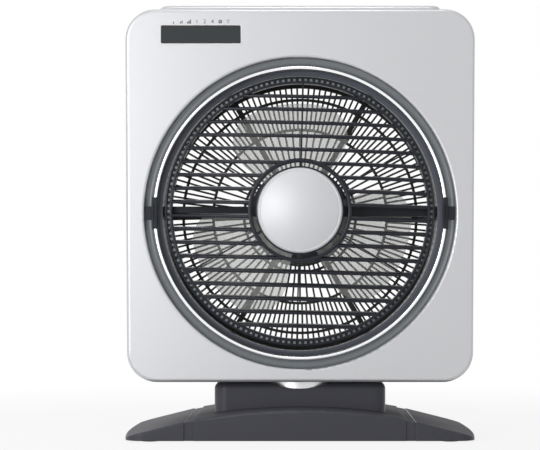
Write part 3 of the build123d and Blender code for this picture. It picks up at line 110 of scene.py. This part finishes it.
def moulded(name, colour, roughness, grain, relief, spread=0.05, metallic=0.0, shine=0.5):
    """A moulded or painted surface: one colour with a fine grain in its tone, its gloss and its relief."""
    material = bpy.data.materials.new(name)
    material.use_nodes = True
    tree = material.node_tree
    shader = tree.nodes["Principled BSDF"]
    shader.inputs["Metallic"].default_value = metallic
    shader.inputs["Specular IOR Level"].default_value = shine
    place = tree.nodes.new("ShaderNodeTexCoord")
    noise = tree.nodes.new("ShaderNodeTexNoise")
    noise.inputs["Scale"].default_value = grain
    noise.inputs["Detail"].default_value = grain_detail
    tree.links.new(place.outputs["Object"], noise.inputs["Vector"])
    tone = tree.nodes.new("ShaderNodeValToRGB")
    tone.name = "tone"
    darker, lighter = tone.color_ramp.elements
    darker.position, lighter.position = tone_ends
    darker.color = (*[c * (1 - spread) for c in colour], 1.0)
    lighter.color = (*[min(1.0, c * (1 + spread)) for c in colour], 1.0)
    tree.links.new(noise.outputs["Fac"], tone.inputs["Fac"])
    tree.links.new(tone.outputs["Color"], shader.inputs["Base Color"])
    gloss = tree.nodes.new("ShaderNodeMapRange")
    gloss.name = "gloss"
    gloss.inputs["To Min"].default_value = roughness * (1 - gloss_spread)
    gloss.inputs["To Max"].default_value = roughness * (1 + gloss_spread)
    tree.links.new(noise.outputs["Fac"], gloss.inputs["Value"])
    tree.links.new(gloss.outputs["Result"], shader.inputs["Roughness"])
    bump = tree.nodes.new("ShaderNodeBump")
    bump.inputs["Strength"].default_value = relief
    bump.inputs["Distance"].default_value = grain_depth
    tree.links.new(noise.outputs["Fac"], bump.inputs["Height"])
    tree.links.new(bump.outputs["Normal"], shader.inputs["Normal"])
    return material


def dress(material, *names):
    """Gives CAD nodes a material."""
    for name in names:
        nodes[name].data.materials.clear()
        nodes[name].data.materials.append(material)


base_plastic = moulded("base_plastic", base_grey, roughness=0.32, grain=1500.0, relief=0.10,
                       spread=0.07, shine=0.25)
tree = base_plastic.node_tree
place = tree.nodes.new("ShaderNodeTexCoord")
facing = tree.nodes.new("ShaderNodeSeparateXYZ")
tree.links.new(place.outputs["Normal"], facing.inputs[0])
upward = tree.nodes.new("ShaderNodeMapRange")
upward.inputs["From Min"].default_value, upward.inputs["From Max"].default_value = top_facing
tree.links.new(facing.outputs["Z"], upward.inputs["Value"])
coarse = tree.nodes.new("ShaderNodeMix")
coarse.inputs["B"].default_value = top_roughness
tree.links.new(upward.outputs["Result"], coarse.inputs["Factor"])
tree.links.new(tree.nodes["gloss"].outputs["Result"], coarse.inputs["A"])
tree.links.new(coarse.outputs["Result"], tree.nodes["Principled BSDF"].inputs["Roughness"])
dress(base_plastic, "base_cover", "left_foot", "right_foot")
pad_rubber = moulded("pad_rubber", (0.02, 0.02, 0.02), roughness=0.8, grain=1400.0, relief=0.3)
dress(pad_rubber, "rubber_feet")
black_plastic = moulded("black_plastic", (0.010, 0.011, 0.013), roughness=0.42, grain=1100.0, relief=0.12)
dress(black_plastic, "bottom_plate")
screw_steel = moulded("screw_steel", (0.55, 0.55, 0.56), roughness=0.3, grain=700.0, relief=0.05,
                      spread=0.06, metallic=1.0)
dress(screw_steel, "base_screws")

# Pedestal: a dark block with a dished top, screwed to the middle of the base. The mains lead's gland is in its
# rear wall, and inside are the steel swing plate, its gear motor, the neck's bronze bush and its slip ring.
pedestal_plastic = moulded("pedestal_plastic", (0.080, 0.081, 0.098), roughness=0.32, grain=1500.0, relief=0.10,
                           spread=0.07, shine=0.2)
dress(pedestal_plastic, "pedestal_housing")
dress(black_plastic, "cord_gland")
plate_steel = moulded("plate_steel", (0.45, 0.45, 0.46), roughness=0.42, grain=500.0, relief=0.08,
                      spread=0.08, metallic=1.0)
dress(plate_steel, "swing_plate")
gear_motor_paint = moulded("gear_motor_paint", (0.4, 0.4, 0.42), roughness=0.4, grain=600.0, relief=0.05,
                           metallic=0.7)
dress(gear_motor_paint, "swing_motor")
bearing_bronze = moulded("bearing_bronze", (0.5, 0.33, 0.14), roughness=0.4, grain=900.0, relief=0.1,
                         spread=0.08, metallic=1.0)
dress(bearing_bronze, "pivot_bush")
gear_nylon = moulded("gear_nylon", (0.75, 0.74, 0.68), roughness=0.5, grain=700.0, relief=0.05)
dress(gear_nylon, "swing_pinion", "thrust_washer")
dress(screw_steel, "swing_shaft")

# Neck: a round silver bowl screwed under the case, and a steel tube that turns in the bush.
# A nylon toothed sector on the tube takes the pinion's drive, and a spring clip holds the tube in.
bowl_paint = moulded("bowl_paint", (0.88, 0.885, 0.90), roughness=0.30, grain=3200.0, relief=0.02,
                     spread=0.03, metallic=0.75)
dress(bowl_paint, "neck_collar")
dress(plate_steel, "pivot_tube")
dress(gear_nylon, "swing_sector")
dress(screw_steel, "pivot_clip", "collar_screws")

# Case: the front panel and the rear shell with the carrying grip, held together by long screws from behind.
# Both are moulded plastic with a sprayed silver finish of fine flakes.
silver_paint = moulded("silver_paint", (0.64, 0.645, 0.665), roughness=0.36, grain=3200.0, relief=0.02,
                       spread=0.03, metallic=0.5)
dress(silver_paint, "front_panel", "rear_case")
dress(screw_steel, "case_screws")

# Air path: a dark tube round the blades and a black rear guard with fine radial bars,
# which carries the motor. Both are plain moulded plastic.
dress(black_plastic, "rear_guard")
shroud_plastic = moulded("shroud_plastic", (0.020, 0.023, 0.029), roughness=0.4, grain=1000.0, relief=0.08)
dress(shroud_plastic, "air_shroud")

# Fan motor: two cast shells with the stator and the rotor between them, on a ground steel shaft in two
# bronze bearings. Its capacitor stands apart from it, in a lower corner of the case.
motor_shell = moulded("motor_shell", (0.035, 0.037, 0.042), roughness=0.45, grain=800.0, relief=0.2,
                      spread=0.06, metallic=0.2)
dress(motor_shell, "motor_rear_shell", "motor_front_shell")
dress(plate_steel, "motor_stator", "motor_rotor")
dress(bearing_bronze, "rear_bearing", "front_bearing")
dress(screw_steel, "rotor_shaft", "motor_screws")
capacitor_case = moulded("capacitor_case", (0.07, 0.07, 0.08), roughness=0.35, grain=500.0, relief=0.05)
dress(capacitor_case, "motor_capacitor")

# Blade wheel: three wide twisted blades on a hollow hub, moulded in one from clear smoked plastic.
# It is pushed on the motor shaft and held by the black fluted nut.
fan_height = 0.241
fan_forward = Vector((0.0, -1.0, 0.0))
fan_centre = Vector((0.0, 0.0, fan_height))
blade_count = 3
blade_first = radians(97)
blade_half = radians(42)
blade_middle = 0.007
blade_rise = 0.0105
blade_root = 0.0285
blade_tip = 0.122
blade_rounding = 0.034
blade_wall = 0.002
blade_rows = 14
blade_steps = 36
blade_alpha = 0.34
blade_edge = 0.0007
blade_edge_from = radians(50)
wheel_hub = ((0.0045, 0.0195), (0.030, 0.0195), (0.030, -0.006), (0.0272, -0.006), (0.0272, 0.0165),
             (0.011, 0.0165), (0.011, -0.004), (0.0045, -0.004))
wheel_hub_edge = 0.0012
wheel_hub_steps = 72
weld_gap = 0.000002
smooth_below = radians(35)


def round_corners(build, face, rounding, segments):
    """Rounds the corners of a flat outline."""
    bmesh.ops.bevel(build, geom=face.verts[:], offset=rounding, offset_type="OFFSET", affect="VERTICES",
                    segments=segments, profile=0.5, material=-1)


def ring(build, profile, rounding, steps, centre, segments=2):
    """A ring about a forward axis: an outline of (radius, forward) points, its corners rounded, spun round."""
    before = set(build.verts)
    outline = [build.verts.new(centre + Vector((radius, -forward, 0.0))) for radius, forward in profile]
    round_corners(build, build.faces.new(outline), rounding, segments)
    verts = [vert for vert in build.verts if vert not in before]
    edges = list({edge for vert in verts for edge in vert.link_edges})
    faces = list({face for vert in verts for face in vert.link_faces})
    bmesh.ops.delete(build, geom=faces, context="FACES_ONLY")
    bmesh.ops.spin(build, geom=verts + edges, cent=centre, axis=fan_forward, angle=2 * pi, steps=steps,
                   use_merge=True, use_duplicate=False)


def keep_piece(build, name, material, body, slot, *replaced):
    """Welds a bmesh, turns its faces outwards, and keeps it as a piece that rides on a body."""
    bmesh.ops.remove_doubles(build, verts=build.verts[:], dist=weld_gap)
    bmesh.ops.recalc_face_normals(build, faces=build.faces[:])
    mesh = bpy.data.meshes.new(name)
    build.to_mesh(mesh)
    build.free()
    mesh.materials.append(material)
    mesh.shade_smooth()
    mesh.set_sharp_from_angle(angle=smooth_below)
    piece = bpy.data.objects.new(name, mesh)
    scene.collection.objects.link(piece)
    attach(piece, body)
    if replaced:
        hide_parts(*replaced)
    return piece


def blade_reach(lean):
    """How far out the blade goes at an angle from its middle line, with its round tip corners."""
    corner_arm = blade_tip - blade_rounding
    corner = blade_half - asin(blade_rounding / corner_arm)
    past = abs(lean) - corner
    if past <= 0:
        return blade_tip
    return corner_arm * cos(past) + sqrt(max(0.0, blade_rounding ** 2 - (corner_arm * sin(past)) ** 2))


blade_plastic = moulded("blade_plastic", (0.80, 0.82, 0.77), roughness=0.24, grain=260.0, relief=0.03)
blade_plastic.node_tree.nodes["Principled BSDF"].inputs["Alpha"].default_value = blade_alpha
wheel = bmesh.new()
for index in range(blade_count):
    turn = blade_first + 2 * pi * index / blade_count
    start = turn - blade_half
    along = Vector((cos(start), 0.0, sin(start)))
    before = set(wheel.verts)
    line = []
    for row in range(blade_rows + 1):
        radius = blade_root + (blade_tip - blade_root) * row / blade_rows
        line.append(wheel.verts.new(fan_centre + along * radius + fan_forward * (blade_middle - blade_rise)))
    edges = [wheel.edges.new(pair) for pair in zip(line, line[1:])]
    bmesh.ops.spin(wheel, geom=line + edges, cent=fan_centre, axis=fan_forward, angle=2 * blade_half,
                   steps=blade_steps, dvec=fan_forward * (2 * blade_rise / blade_steps),
                   use_merge=False, use_duplicate=False)
    petal = [vert for vert in wheel.verts if vert not in before]
    for vert in petal:
        across, up = vert.co.x, vert.co.z - fan_height
        radius = hypot(across, up)
        lean = (atan2(up, across) - turn + pi) % (2 * pi) - pi
        reach = blade_root + (radius - blade_root) * (blade_reach(lean) - blade_root) / (blade_tip - blade_root)
        vert.co.x, vert.co.z = across * reach / radius, fan_height + up * reach / radius
    faces = list({face for vert in petal for face in vert.link_faces})
    bmesh.ops.recalc_face_normals(wheel, faces=faces)
    bmesh.ops.solidify(wheel, geom=faces, thickness=blade_wall)
ring(wheel, wheel_hub, wheel_hub_edge, wheel_hub_steps, fan_centre)
blade_wheel = keep_piece(wheel, "blades", blade_plastic, "fan", "blade_plastic", "blade_wheel")
soft_edge = blade_wheel.modifiers.new("soft_edge", "BEVEL")
soft_edge.width = blade_edge
soft_edge.segments = 2
soft_edge.limit_method = "ANGLE"
soft_edge.angle_limit = blade_edge_from
dress(black_plastic, "blade_nut")

# Front guard: the dark ring that snaps into the panel's opening, with two spring latches, a bright bead and a
# fixed bar for the louver's motor. The channel outside the bead is lighter than the funnel inside it.
funnel_tone = (0.125, 0.135, 0.160)
channel_tone = (0.190, 0.208, 0.222)
channel_from = 0.1530
ring_plastic = moulded("ring_plastic", funnel_tone, roughness=0.30, grain=1000.0, relief=0.05)
tree = ring_plastic.node_tree
place = tree.nodes.new("ShaderNodeTexCoord")
centred = tree.nodes.new("ShaderNodeMapping")
centred.inputs["Location"].default_value = (0.0, 0.0, -fan_height)
tree.links.new(place.outputs["Object"], centred.inputs["Vector"])
flat = tree.nodes.new("ShaderNodeVectorMath")
flat.operation = "MULTIPLY"
flat.inputs[1].default_value = (1.0, 0.0, 1.0)
tree.links.new(centred.outputs["Vector"], flat.inputs[0])
radius = tree.nodes.new("ShaderNodeVectorMath")
radius.operation = "LENGTH"
tree.links.new(flat.outputs["Vector"], radius.inputs[0])
outside = tree.nodes.new("ShaderNodeMath")
outside.operation = "GREATER_THAN"
outside.inputs[1].default_value = channel_from
tree.links.new(radius.outputs["Value"], outside.inputs[0])
two_tone = tree.nodes.new("ShaderNodeMix")
two_tone.data_type = "RGBA"
tree.links.new(outside.outputs["Value"], two_tone.inputs["Factor"])
tree.links.new(tree.nodes["tone"].outputs["Color"], two_tone.inputs["A"])
two_tone.inputs["B"].default_value = (*channel_tone, 1.0)
tree.links.new(two_tone.outputs["Result"], tree.nodes["Principled BSDF"].inputs["Base Color"])
dress(ring_plastic, "guard_ring")
navy_plastic = moulded("navy_plastic", (0.016, 0.019, 0.028), roughness=0.30, grain=1000.0, relief=0.06, shine=0.25)
dress(navy_plastic, "louver_bar", "left_latch", "right_latch")
dress(gear_motor_paint, "louver_motor")
bright_trim = moulded("bright_trim", (0.93, 0.93, 0.95), roughness=0.12, grain=300.0, relief=0.0,
                      spread=0.01, metallic=1.0)
dress(bright_trim, "chrome_trim")

# Louver: eighteen slats on a shallow dome between a hub ring and a channelled rim, tied by six ribs,
# all moulded in one from navy plastic. It turns on the shaft of the small motor on the fixed bar.
louver_turn = radians(1.4)
louver_height = 0.2432
louver_centre = Vector((0.0, 0.0, louver_height))
dome_radius = 0.29625
dome_behind = 0.21125
dome_middle = Vector((0.0, dome_behind, louver_height))
louver_radius = 0.1378
hub_middle_radius = 0.0529
slat_count = 18
slat_pitch = 0.0144
slat_half = (0.006, 0.00175)
slat_tilt = radians(8)
slat_rounding = 0.0013
slat_step = 0.007
rib_count = 6
rib_half = 0.0008
rib_rounding = 0.00048
rib_span = (0.0024, 0.0064)
rib_steps = 18
bar_segments = 3
rim_outline = ((0.1366, 0.044), (0.1390, 0.044), (0.1390, 0.0498), (0.1426, 0.0498), (0.1426, 0.0475),
               (0.1442, 0.0475), (0.1442, 0.0545), (0.1426, 0.0545), (0.1426, 0.0522), (0.1390, 0.0522),
               (0.1390, 0.058), (0.1366, 0.058))
rim_edge = 0.0005
rim_steps = 144
hub_ring_outline = ((0.0509, 0.0730), (0.0549, 0.0730), (0.0549, 0.0870), (0.0509, 0.0870))
hub_ring_edge = 0.0011
hub_ring_steps = 96
hub_plate_outline = ((0.0031, 0.0655), (0.009, 0.0655), (0.009, 0.080), (0.0468, 0.080), (0.0468, 0.083),
                     (0.0031, 0.083))
hub_plate_steps = 72
hub_arm = (0.045, 0.052)
hub_arm_half = (0.0015, 0.0014)
hub_arm_forward = 0.0815


def sweep(build, corners, rounding, axis, centre, angle, steps):
    """A bar: a section with rounded corners carried round an axis, closed at both ends."""
    before = set(build.verts)
    face = build.faces.new([build.verts.new(corner) for corner in corners])
    round_corners(build, face, rounding, bar_segments)
    verts = [vert for vert in build.verts if vert not in before]
    faces = list({face for vert in verts for face in vert.link_faces})
    edges = list({edge for vert in verts for edge in vert.link_edges})
    bmesh.ops.spin(build, geom=verts + edges + faces, cent=centre, axis=axis, angle=angle, steps=steps,
                   use_merge=False, use_duplicate=False)


def block(build, middle, size):
    """Adds a plain block and returns its corners."""
    corners = bmesh.ops.create_cube(build, size=1.0)["verts"]
    bmesh.ops.scale(build, vec=size, verts=corners)
    bmesh.ops.translate(build, vec=middle, verts=corners)
    return corners


def turn_forward(build, verts, angle):
    """Turns points about the louver's axis."""
    bmesh.ops.rotate(build, cent=louver_centre, matrix=Matrix.Rotation(angle, 3, fan_forward), verts=verts)


louver = bmesh.new()
for index in range(slat_count):
    rise = (index - (slat_count - 1) / 2) * slat_pitch
    bend = sqrt(dome_radius ** 2 - rise ** 2)
    far = asin(sqrt(louver_radius ** 2 - rise ** 2) / bend)
    spans = [(-far, far)]
    if abs(rise) < hub_middle_radius:
        near = asin(sqrt(hub_middle_radius ** 2 - rise ** 2) / bend)
        spans = [(-far, -near), (near, far)]
    for first, last in spans:
        outward = Vector((sin(first), -cos(first), 0.0))
        corners = []
        for depth, thick in ((-1, -1), (1, -1), (1, 1), (-1, 1)):
            deep, high = depth * slat_half[0], thick * slat_half[1]
            out = deep * cos(slat_tilt) + high * sin(slat_tilt)
            up = high * cos(slat_tilt) - deep * sin(slat_tilt)
            corners.append(dome_middle + outward * (bend + out) + Vector((0.0, 0.0, rise + up)))
        steps = max(2, round((last - first) * bend / slat_step))
        sweep(louver, corners, slat_rounding, (0.0, 0.0, 1.0), dome_middle, last - first, steps)
rib_from, rib_to = asin(hub_middle_radius / dome_radius), asin(louver_radius / dome_radius)
for index in range(rib_count):
    turn = 2 * pi * (index + 0.5) / rib_count
    along = Vector((cos(turn), 0.0, sin(turn)))
    side = fan_forward.cross(along)
    outward = along * sin(rib_from) + fan_forward * cos(rib_from)
    corners = [dome_middle + outward * (dome_radius + out) + side * wide
               for out, wide in ((rib_span[0], -rib_half), (rib_span[1], -rib_half),
                                 (rib_span[1], rib_half), (rib_span[0], rib_half))]
    sweep(louver, corners, rib_rounding, side, dome_middle, rib_to - rib_from, rib_steps)
    arm = block(louver, ((hub_arm[0] + hub_arm[1]) / 2, -hub_arm_forward, louver_height),
                (hub_arm[1] - hub_arm[0], 2 * hub_arm_half[1], 2 * hub_arm_half[0]))
    turn_forward(louver, arm, turn)
ring(louver, rim_outline, rim_edge, rim_steps, louver_centre)
ring(louver, hub_ring_outline, hub_ring_edge, hub_ring_steps, louver_centre)
ring(louver, hub_plate_outline, rim_edge, hub_plate_steps, louver_centre)
turn_forward(louver, louver.verts[:], -louver_turn)
keep_piece(louver, "louver_slats", navy_plastic, "louver", "navy_plastic", "louver_grille")
dress(screw_steel, "louver_shaft")

# Louver marks: a row of small square pips on the floor of the rim's channel,
# moulded proud. Their light grey is a painted highlight for the light that they catch.
pip_count = 148
pip_circle = 0.1408
pip_size = (0.0026, 0.0008, 0.0026)
pip_floor = 0.0522
pips = bmesh.new()
for index in range(pip_count):
    pip = block(pips, (pip_circle, -pip_floor, louver_height), pip_size)
    turn_forward(pips, pip, 2 * pi * index / pip_count)
# Painted highlight: the pips' light grey stands in for the glints on them, not for a paint of their own.
pip_painted_highlight = moulded("pip_painted_highlight", (0.26, 0.28, 0.29), roughness=0.4, grain=900.0, relief=0.05)
keep_piece(pips, "louver_pips", pip_painted_highlight, "louver", "base_plastic")

# Centre cap: a shallow silver dome with a fine groove and a turned edge, sprayed like the case,
# that clips over the louver's hub plate.
cap_radius = 0.045
cap_back = 0.083
cap_top = 0.0970
cap_sphere = 0.10625
cap_wall = 0.002
cap_groove = 0.0414
cap_groove_bed = ((0.0003, 0.0007), (0.0008, 0.0006))
cap_land = ((0.0426, 0.0), (0.0436, 0.0), (0.0445, 0.0003))
cap_edge = ((0.0449, 0.0862), (cap_radius, 0.0852), (cap_radius, cap_back), (cap_radius - cap_wall, cap_back))
cap_rows = 12
cap_steps = 128


def cap_height(reach):
    """How far forward the dome stands at a distance from the axis."""
    return cap_top - cap_sphere + sqrt(cap_sphere ** 2 - reach ** 2)


cap_dome = [(cap_groove * row / cap_rows, cap_height(cap_groove * row / cap_rows)) for row in range(cap_rows + 1)]
cap_line = [*cap_dome]
cap_line += [(cap_groove + across, cap_height(cap_groove) - deep) for across, deep in cap_groove_bed]
cap_line += [(reach, cap_height(reach) - deep) for reach, deep in cap_land]
cap_line += cap_edge
cap_line += [(reach, forward - cap_wall) for reach, forward in reversed(cap_dome)]
cap = bmesh.new()
line = [cap.verts.new((reach, -forward, louver_height)) for reach, forward in cap_line]
edges = [cap.edges.new(pair) for pair in zip(line, line[1:])]
bmesh.ops.spin(cap, geom=line + edges, cent=louver_centre, axis=fan_forward, angle=2 * pi, steps=cap_steps,
               use_merge=True, use_duplicate=False)
cap_paint = moulded("cap_paint", (0.74, 0.745, 0.77), roughness=0.50, grain=3200.0, relief=0.02,
                    spread=0.03, metallic=0.3)
keep_piece(cap, "cap_dome", cap_paint, "louver", "silver_plastic", "louver_cap")

# Display: a dark window set in the panel with a fine light line round it, its board and lamps behind it,
# and small printed marks above it: three fan speeds, three timer hours, louver and swing.
window_middle = (-0.1056, 0.431)
window_size = (0.085, 0.0193)
panel_front = 0.066
window_line_width = 0.0015
window_line_height = 0.00025
window_corner = 0.0024
window_corner_segments = 4
window_plastic = moulded("window_plastic", (0.022, 0.028, 0.032), roughness=0.12, grain=200.0, relief=0.0,
                         spread=0.02)
dress(window_plastic, "display_window")
window_line = bmesh.new()
pane = bmesh.ops.create_grid(window_line, x_segments=1, y_segments=1, size=0.5)["verts"]
pane_size = [side + 2 * window_line_width for side in window_size]
bmesh.ops.scale(window_line, vec=(*pane_size, 1.0), verts=pane)
bmesh.ops.rotate(window_line, cent=(0, 0, 0), matrix=Matrix.Rotation(radians(90), 3, "X"), verts=pane)
bmesh.ops.translate(window_line, vec=(window_middle[0], -panel_front, window_middle[1]), verts=pane)
round_corners(window_line, list(window_line.faces)[0], window_corner, window_corner_segments)
middle = list(window_line.faces)
bmesh.ops.inset_region(window_line, faces=middle, thickness=window_line_width, use_even_offset=True,
                       use_boundary=True)
bmesh.ops.delete(window_line, geom=middle, context="FACES_ONLY")
border = bmesh.ops.extrude_face_region(window_line, geom=list(window_line.faces), use_keep_orig=True)["geom"]
bmesh.ops.translate(window_line, vec=fan_forward * window_line_height,
                    verts=[item for item in border if isinstance(item, bmesh.types.BMVert)])
line_paint = moulded("line_paint", (0.96, 0.96, 0.97), roughness=0.3, grain=600.0, relief=0.0, spread=0.02)
keep_piece(window_line, "window_line", line_paint, "head", "silver_plastic")
circuit_board = moulded("circuit_board", (0.03, 0.14, 0.06), roughness=0.35, grain=400.0, relief=0.05, spread=0.1)
dress(circuit_board, "display_board", "switch_board", "power_board")
lamp_plastic = moulded("lamp_plastic", (0.25, 0.7, 0.3), roughness=0.2, grain=300.0, relief=0.0)
dress(lamp_plastic, "indicator_leds")
sign_rise = 0.00015
sign_bars = {
    "slow": ((0.0, -0.25, 0.24, 0.5),),
    "middle": ((-0.2, -0.25, 0.24, 0.5), (0.2, -0.12, 0.24, 0.76)),
    "fast": ((-0.36, -0.25, 0.24, 0.5), (0.0, -0.12, 0.24, 0.76), (0.36, 0.0, 0.24, 1.0)),
    "power": ((0.0, 0.34, 0.11, 0.46),),
    "timer": ((0.0, 0.13, 0.09, 0.34), (0.12, 0.0, 0.24, 0.09)),
    "louver": ((0.0, 0.2, 0.62, 0.11), (0.0, 0.0, 0.8, 0.11), (0.0, -0.2, 0.62, 0.11)),
    "swing": ((0.0, -0.18, 0.16, 0.56),),
}
sign_arcs = {"power": (125, 290), "swing": (30, 120)}
sign_arc_steps = 24
sign_circles = ("timer", "louver")
sign_circle_steps = 36
sign_line = ((0.38, 0.0), (0.5, 0.0), (0.5, 1.0), (0.38, 1.0))
sign_edge = 0.01
sign_half_deep = 0.5
digit_size = 1.45
mark_row = ("slow", "middle", "fast", "1", "2", "4", "louver", "swing")
mark_pitch = 0.0083
mark_height = 0.4446
mark_tall = 0.0041


def sign(build, kind, tall, place):
    """Draws a printed sign, one unit tall and deep, at the origin and facing forward, and puts it in its place."""
    before = set(build.verts)
    for across, up, wide, high in sign_bars.get(kind, ()):
        block(build, (across, -sign_half_deep, up), (wide, 2 * sign_half_deep, high))
    if kind in sign_arcs:
        start, angle = (radians(value) for value in sign_arcs[kind])
        aim = Vector((cos(start), 0.0, sin(start)))
        corners = [aim * reach + fan_forward * rise for reach, rise in sign_line]
        sweep(build, corners, sign_edge, fan_forward, (0.0, 0.0, 0.0), angle, sign_arc_steps)
    if kind in sign_circles:
        ring(build, sign_line, sign_edge, sign_circle_steps, Vector(), segments=1)
    if kind.isdigit():
        letters = bpy.data.curves.new("digit", "FONT")
        letters.body = kind
        letters.align_x = "CENTER"
        letters.align_y = "CENTER"
        letters.size = digit_size
        letters.extrude = sign_half_deep
        carrier = bpy.data.objects.new("digit", letters)
        printed = bpy.data.meshes.new_from_object(carrier)
        printed.transform(Matrix.Translation((0.0, -sign_half_deep, 0.0)) @ Matrix.Rotation(radians(90), 4, "X"))
        build.from_mesh(printed)
        bpy.data.objects.remove(carrier)
    drawn = [vert for vert in build.verts if vert not in before]
    bmesh.ops.scale(build, vec=(tall, sign_rise, tall), verts=drawn)
    bmesh.ops.transform(build, matrix=place, space=Matrix(), verts=drawn)


mark_ink = moulded("mark_ink", (0.03, 0.032, 0.04), roughness=0.45, grain=900.0, relief=0.0)
marks = bmesh.new()
for index, kind in enumerate(mark_row):
    across = window_middle[0] + (index - (len(mark_row) - 1) / 2) * mark_pitch
    sign(marks, kind, mark_tall, Matrix.Translation((across, -panel_front, mark_height)))
keep_piece(marks, "window_marks", mark_ink, "head", "black_plastic")

# Key strip: a black deck let into the top of the case with five grey keys, each on its own spring and
# printed with a plain sign: power, speed, timer, louver, swing.
key_plastic = moulded("key_plastic", (0.30, 0.31, 0.33), roughness=0.4, grain=1200.0, relief=0.08)
dress(black_plastic, "control_deck")
dress(key_plastic, "power_key", "speed_key", "timer_key", "louver_key", "swing_key")
key_top = 0.4608
key_forward = 0.022
key_pitch = 0.018
key_sign_tall = 0.005
key_signs = {"power": "power", "speed": "fast", "timer": "timer", "louver": "louver", "swing": "swing"}
key_ink = moulded("key_ink", (0.80, 0.80, 0.81), roughness=0.45, grain=900.0, relief=0.0)
for index, (use, kind) in enumerate(key_signs.items()):
    across = window_middle[0] + (index - (len(key_signs) - 1) / 2) * key_pitch
    printed = bmesh.new()
    sign(printed, kind, key_sign_tall,
         Matrix.Translation((across, -key_forward, key_top)) @ Matrix.Rotation(radians(-90), 4, "X"))
    keep_piece(printed, use + "_sign", key_ink, use + "_button", "silver_plastic")

# Light: a large soft box close on the left, weak ones on the right, overhead and behind, in a room that is
# bright on the left and behind the fan and dark behind the camera. Looked at or mirrored, the room is plain white.
bright_side = (-0.62, 0.62, -0.2)
leaning_range = (-0.45, 0.75)
wall_strength = (0.16, 0.90)
for name, spot, aim, size, watts in (
    ("key_light", (-0.95, -1.60, 0.50), (-0.05, 0.0, 0.25), 1.0, 13.0),
    ("fill_light", (1.4, -1.6, 0.5), (0.1, 0.0, 0.2), 1.0, 1.0),
    ("top_light", (0.0, -0.35, 1.6), (0.0, -0.1, 0.0), 0.35, 2.6),
    ("rear_light", (-0.6, 1.6, 0.9), (0.0, 0.0, 0.25), 1.2, 5.0),
):
    lamp = bpy.data.lights.new(name, "AREA")
    lamp.size = size
    lamp.energy = watts
    lamp_object = bpy.data.objects.new(name, lamp)
    lamp_object.location = spot
    lamp_object.rotation_euler = (Vector(aim) - Vector(spot)).to_track_quat("-Z", "Y").to_euler()
    scene.collection.objects.link(lamp_object)
world = bpy.data.worlds.new("room")
world.use_nodes = True
tree = world.node_tree
tree.nodes.clear()
place = tree.nodes.new("ShaderNodeTexCoord")
leaning = tree.nodes.new("ShaderNodeVectorMath")
leaning.operation = "DOT_PRODUCT"
leaning.inputs[1].default_value = bright_side
tree.links.new(place.outputs["Generated"], leaning.inputs[0])
wall = tree.nodes.new("ShaderNodeMapRange")
wall.inputs["From Min"].default_value, wall.inputs["From Max"].default_value = leaning_range
wall.inputs["To Min"].default_value, wall.inputs["To Max"].default_value = wall_strength
tree.links.new(leaning.outputs["Value"], wall.inputs["Value"])
room = tree.nodes.new("ShaderNodeBackground")
tree.links.new(wall.outputs["Result"], room.inputs["Strength"])
white = tree.nodes.new("ShaderNodeBackground")
for shade in (room, white):
    shade.inputs["Color"].default_value = (1.0, 1.0, 1.0, 1.0)
camera_mix = tree.nodes.new("ShaderNodeMixShader")
tree.links.new(seen_or_mirrored(tree), camera_mix.inputs["Fac"])
tree.links.new(room.outputs[0], camera_mix.inputs[1])
tree.links.new(white.outputs[0], camera_mix.inputs[2])
world_out = tree.nodes.new("ShaderNodeOutputWorld")
tree.links.new(camera_mix.outputs[0], world_out.inputs["Surface"])
scene.world = world

# Camera: level, square to the front, lower than the fan's centre, as in the photograph.
# The shift only places the fan right of the middle and above the picture's foot.
picture_width = 540
focal_pixels = 1869.9
shift_pixels = (-30.0, 50.6)
sensor_width = 36.0
camera_data = bpy.data.cameras.new("camera")
camera_data.sensor_width = sensor_width
camera_data.lens = focal_pixels / picture_width * sensor_width
camera_data.shift_x = shift_pixels[0] / picture_width
camera_data.shift_y = shift_pixels[1] / picture_width
camera = bpy.data.objects.new("camera", camera_data)
camera.location = (0.0, -2.056, 0.1743)
camera.rotation_euler = (radians(90), 0.0, 0.0)
scene.collection.objects.link(camera)
scene.camera = camera
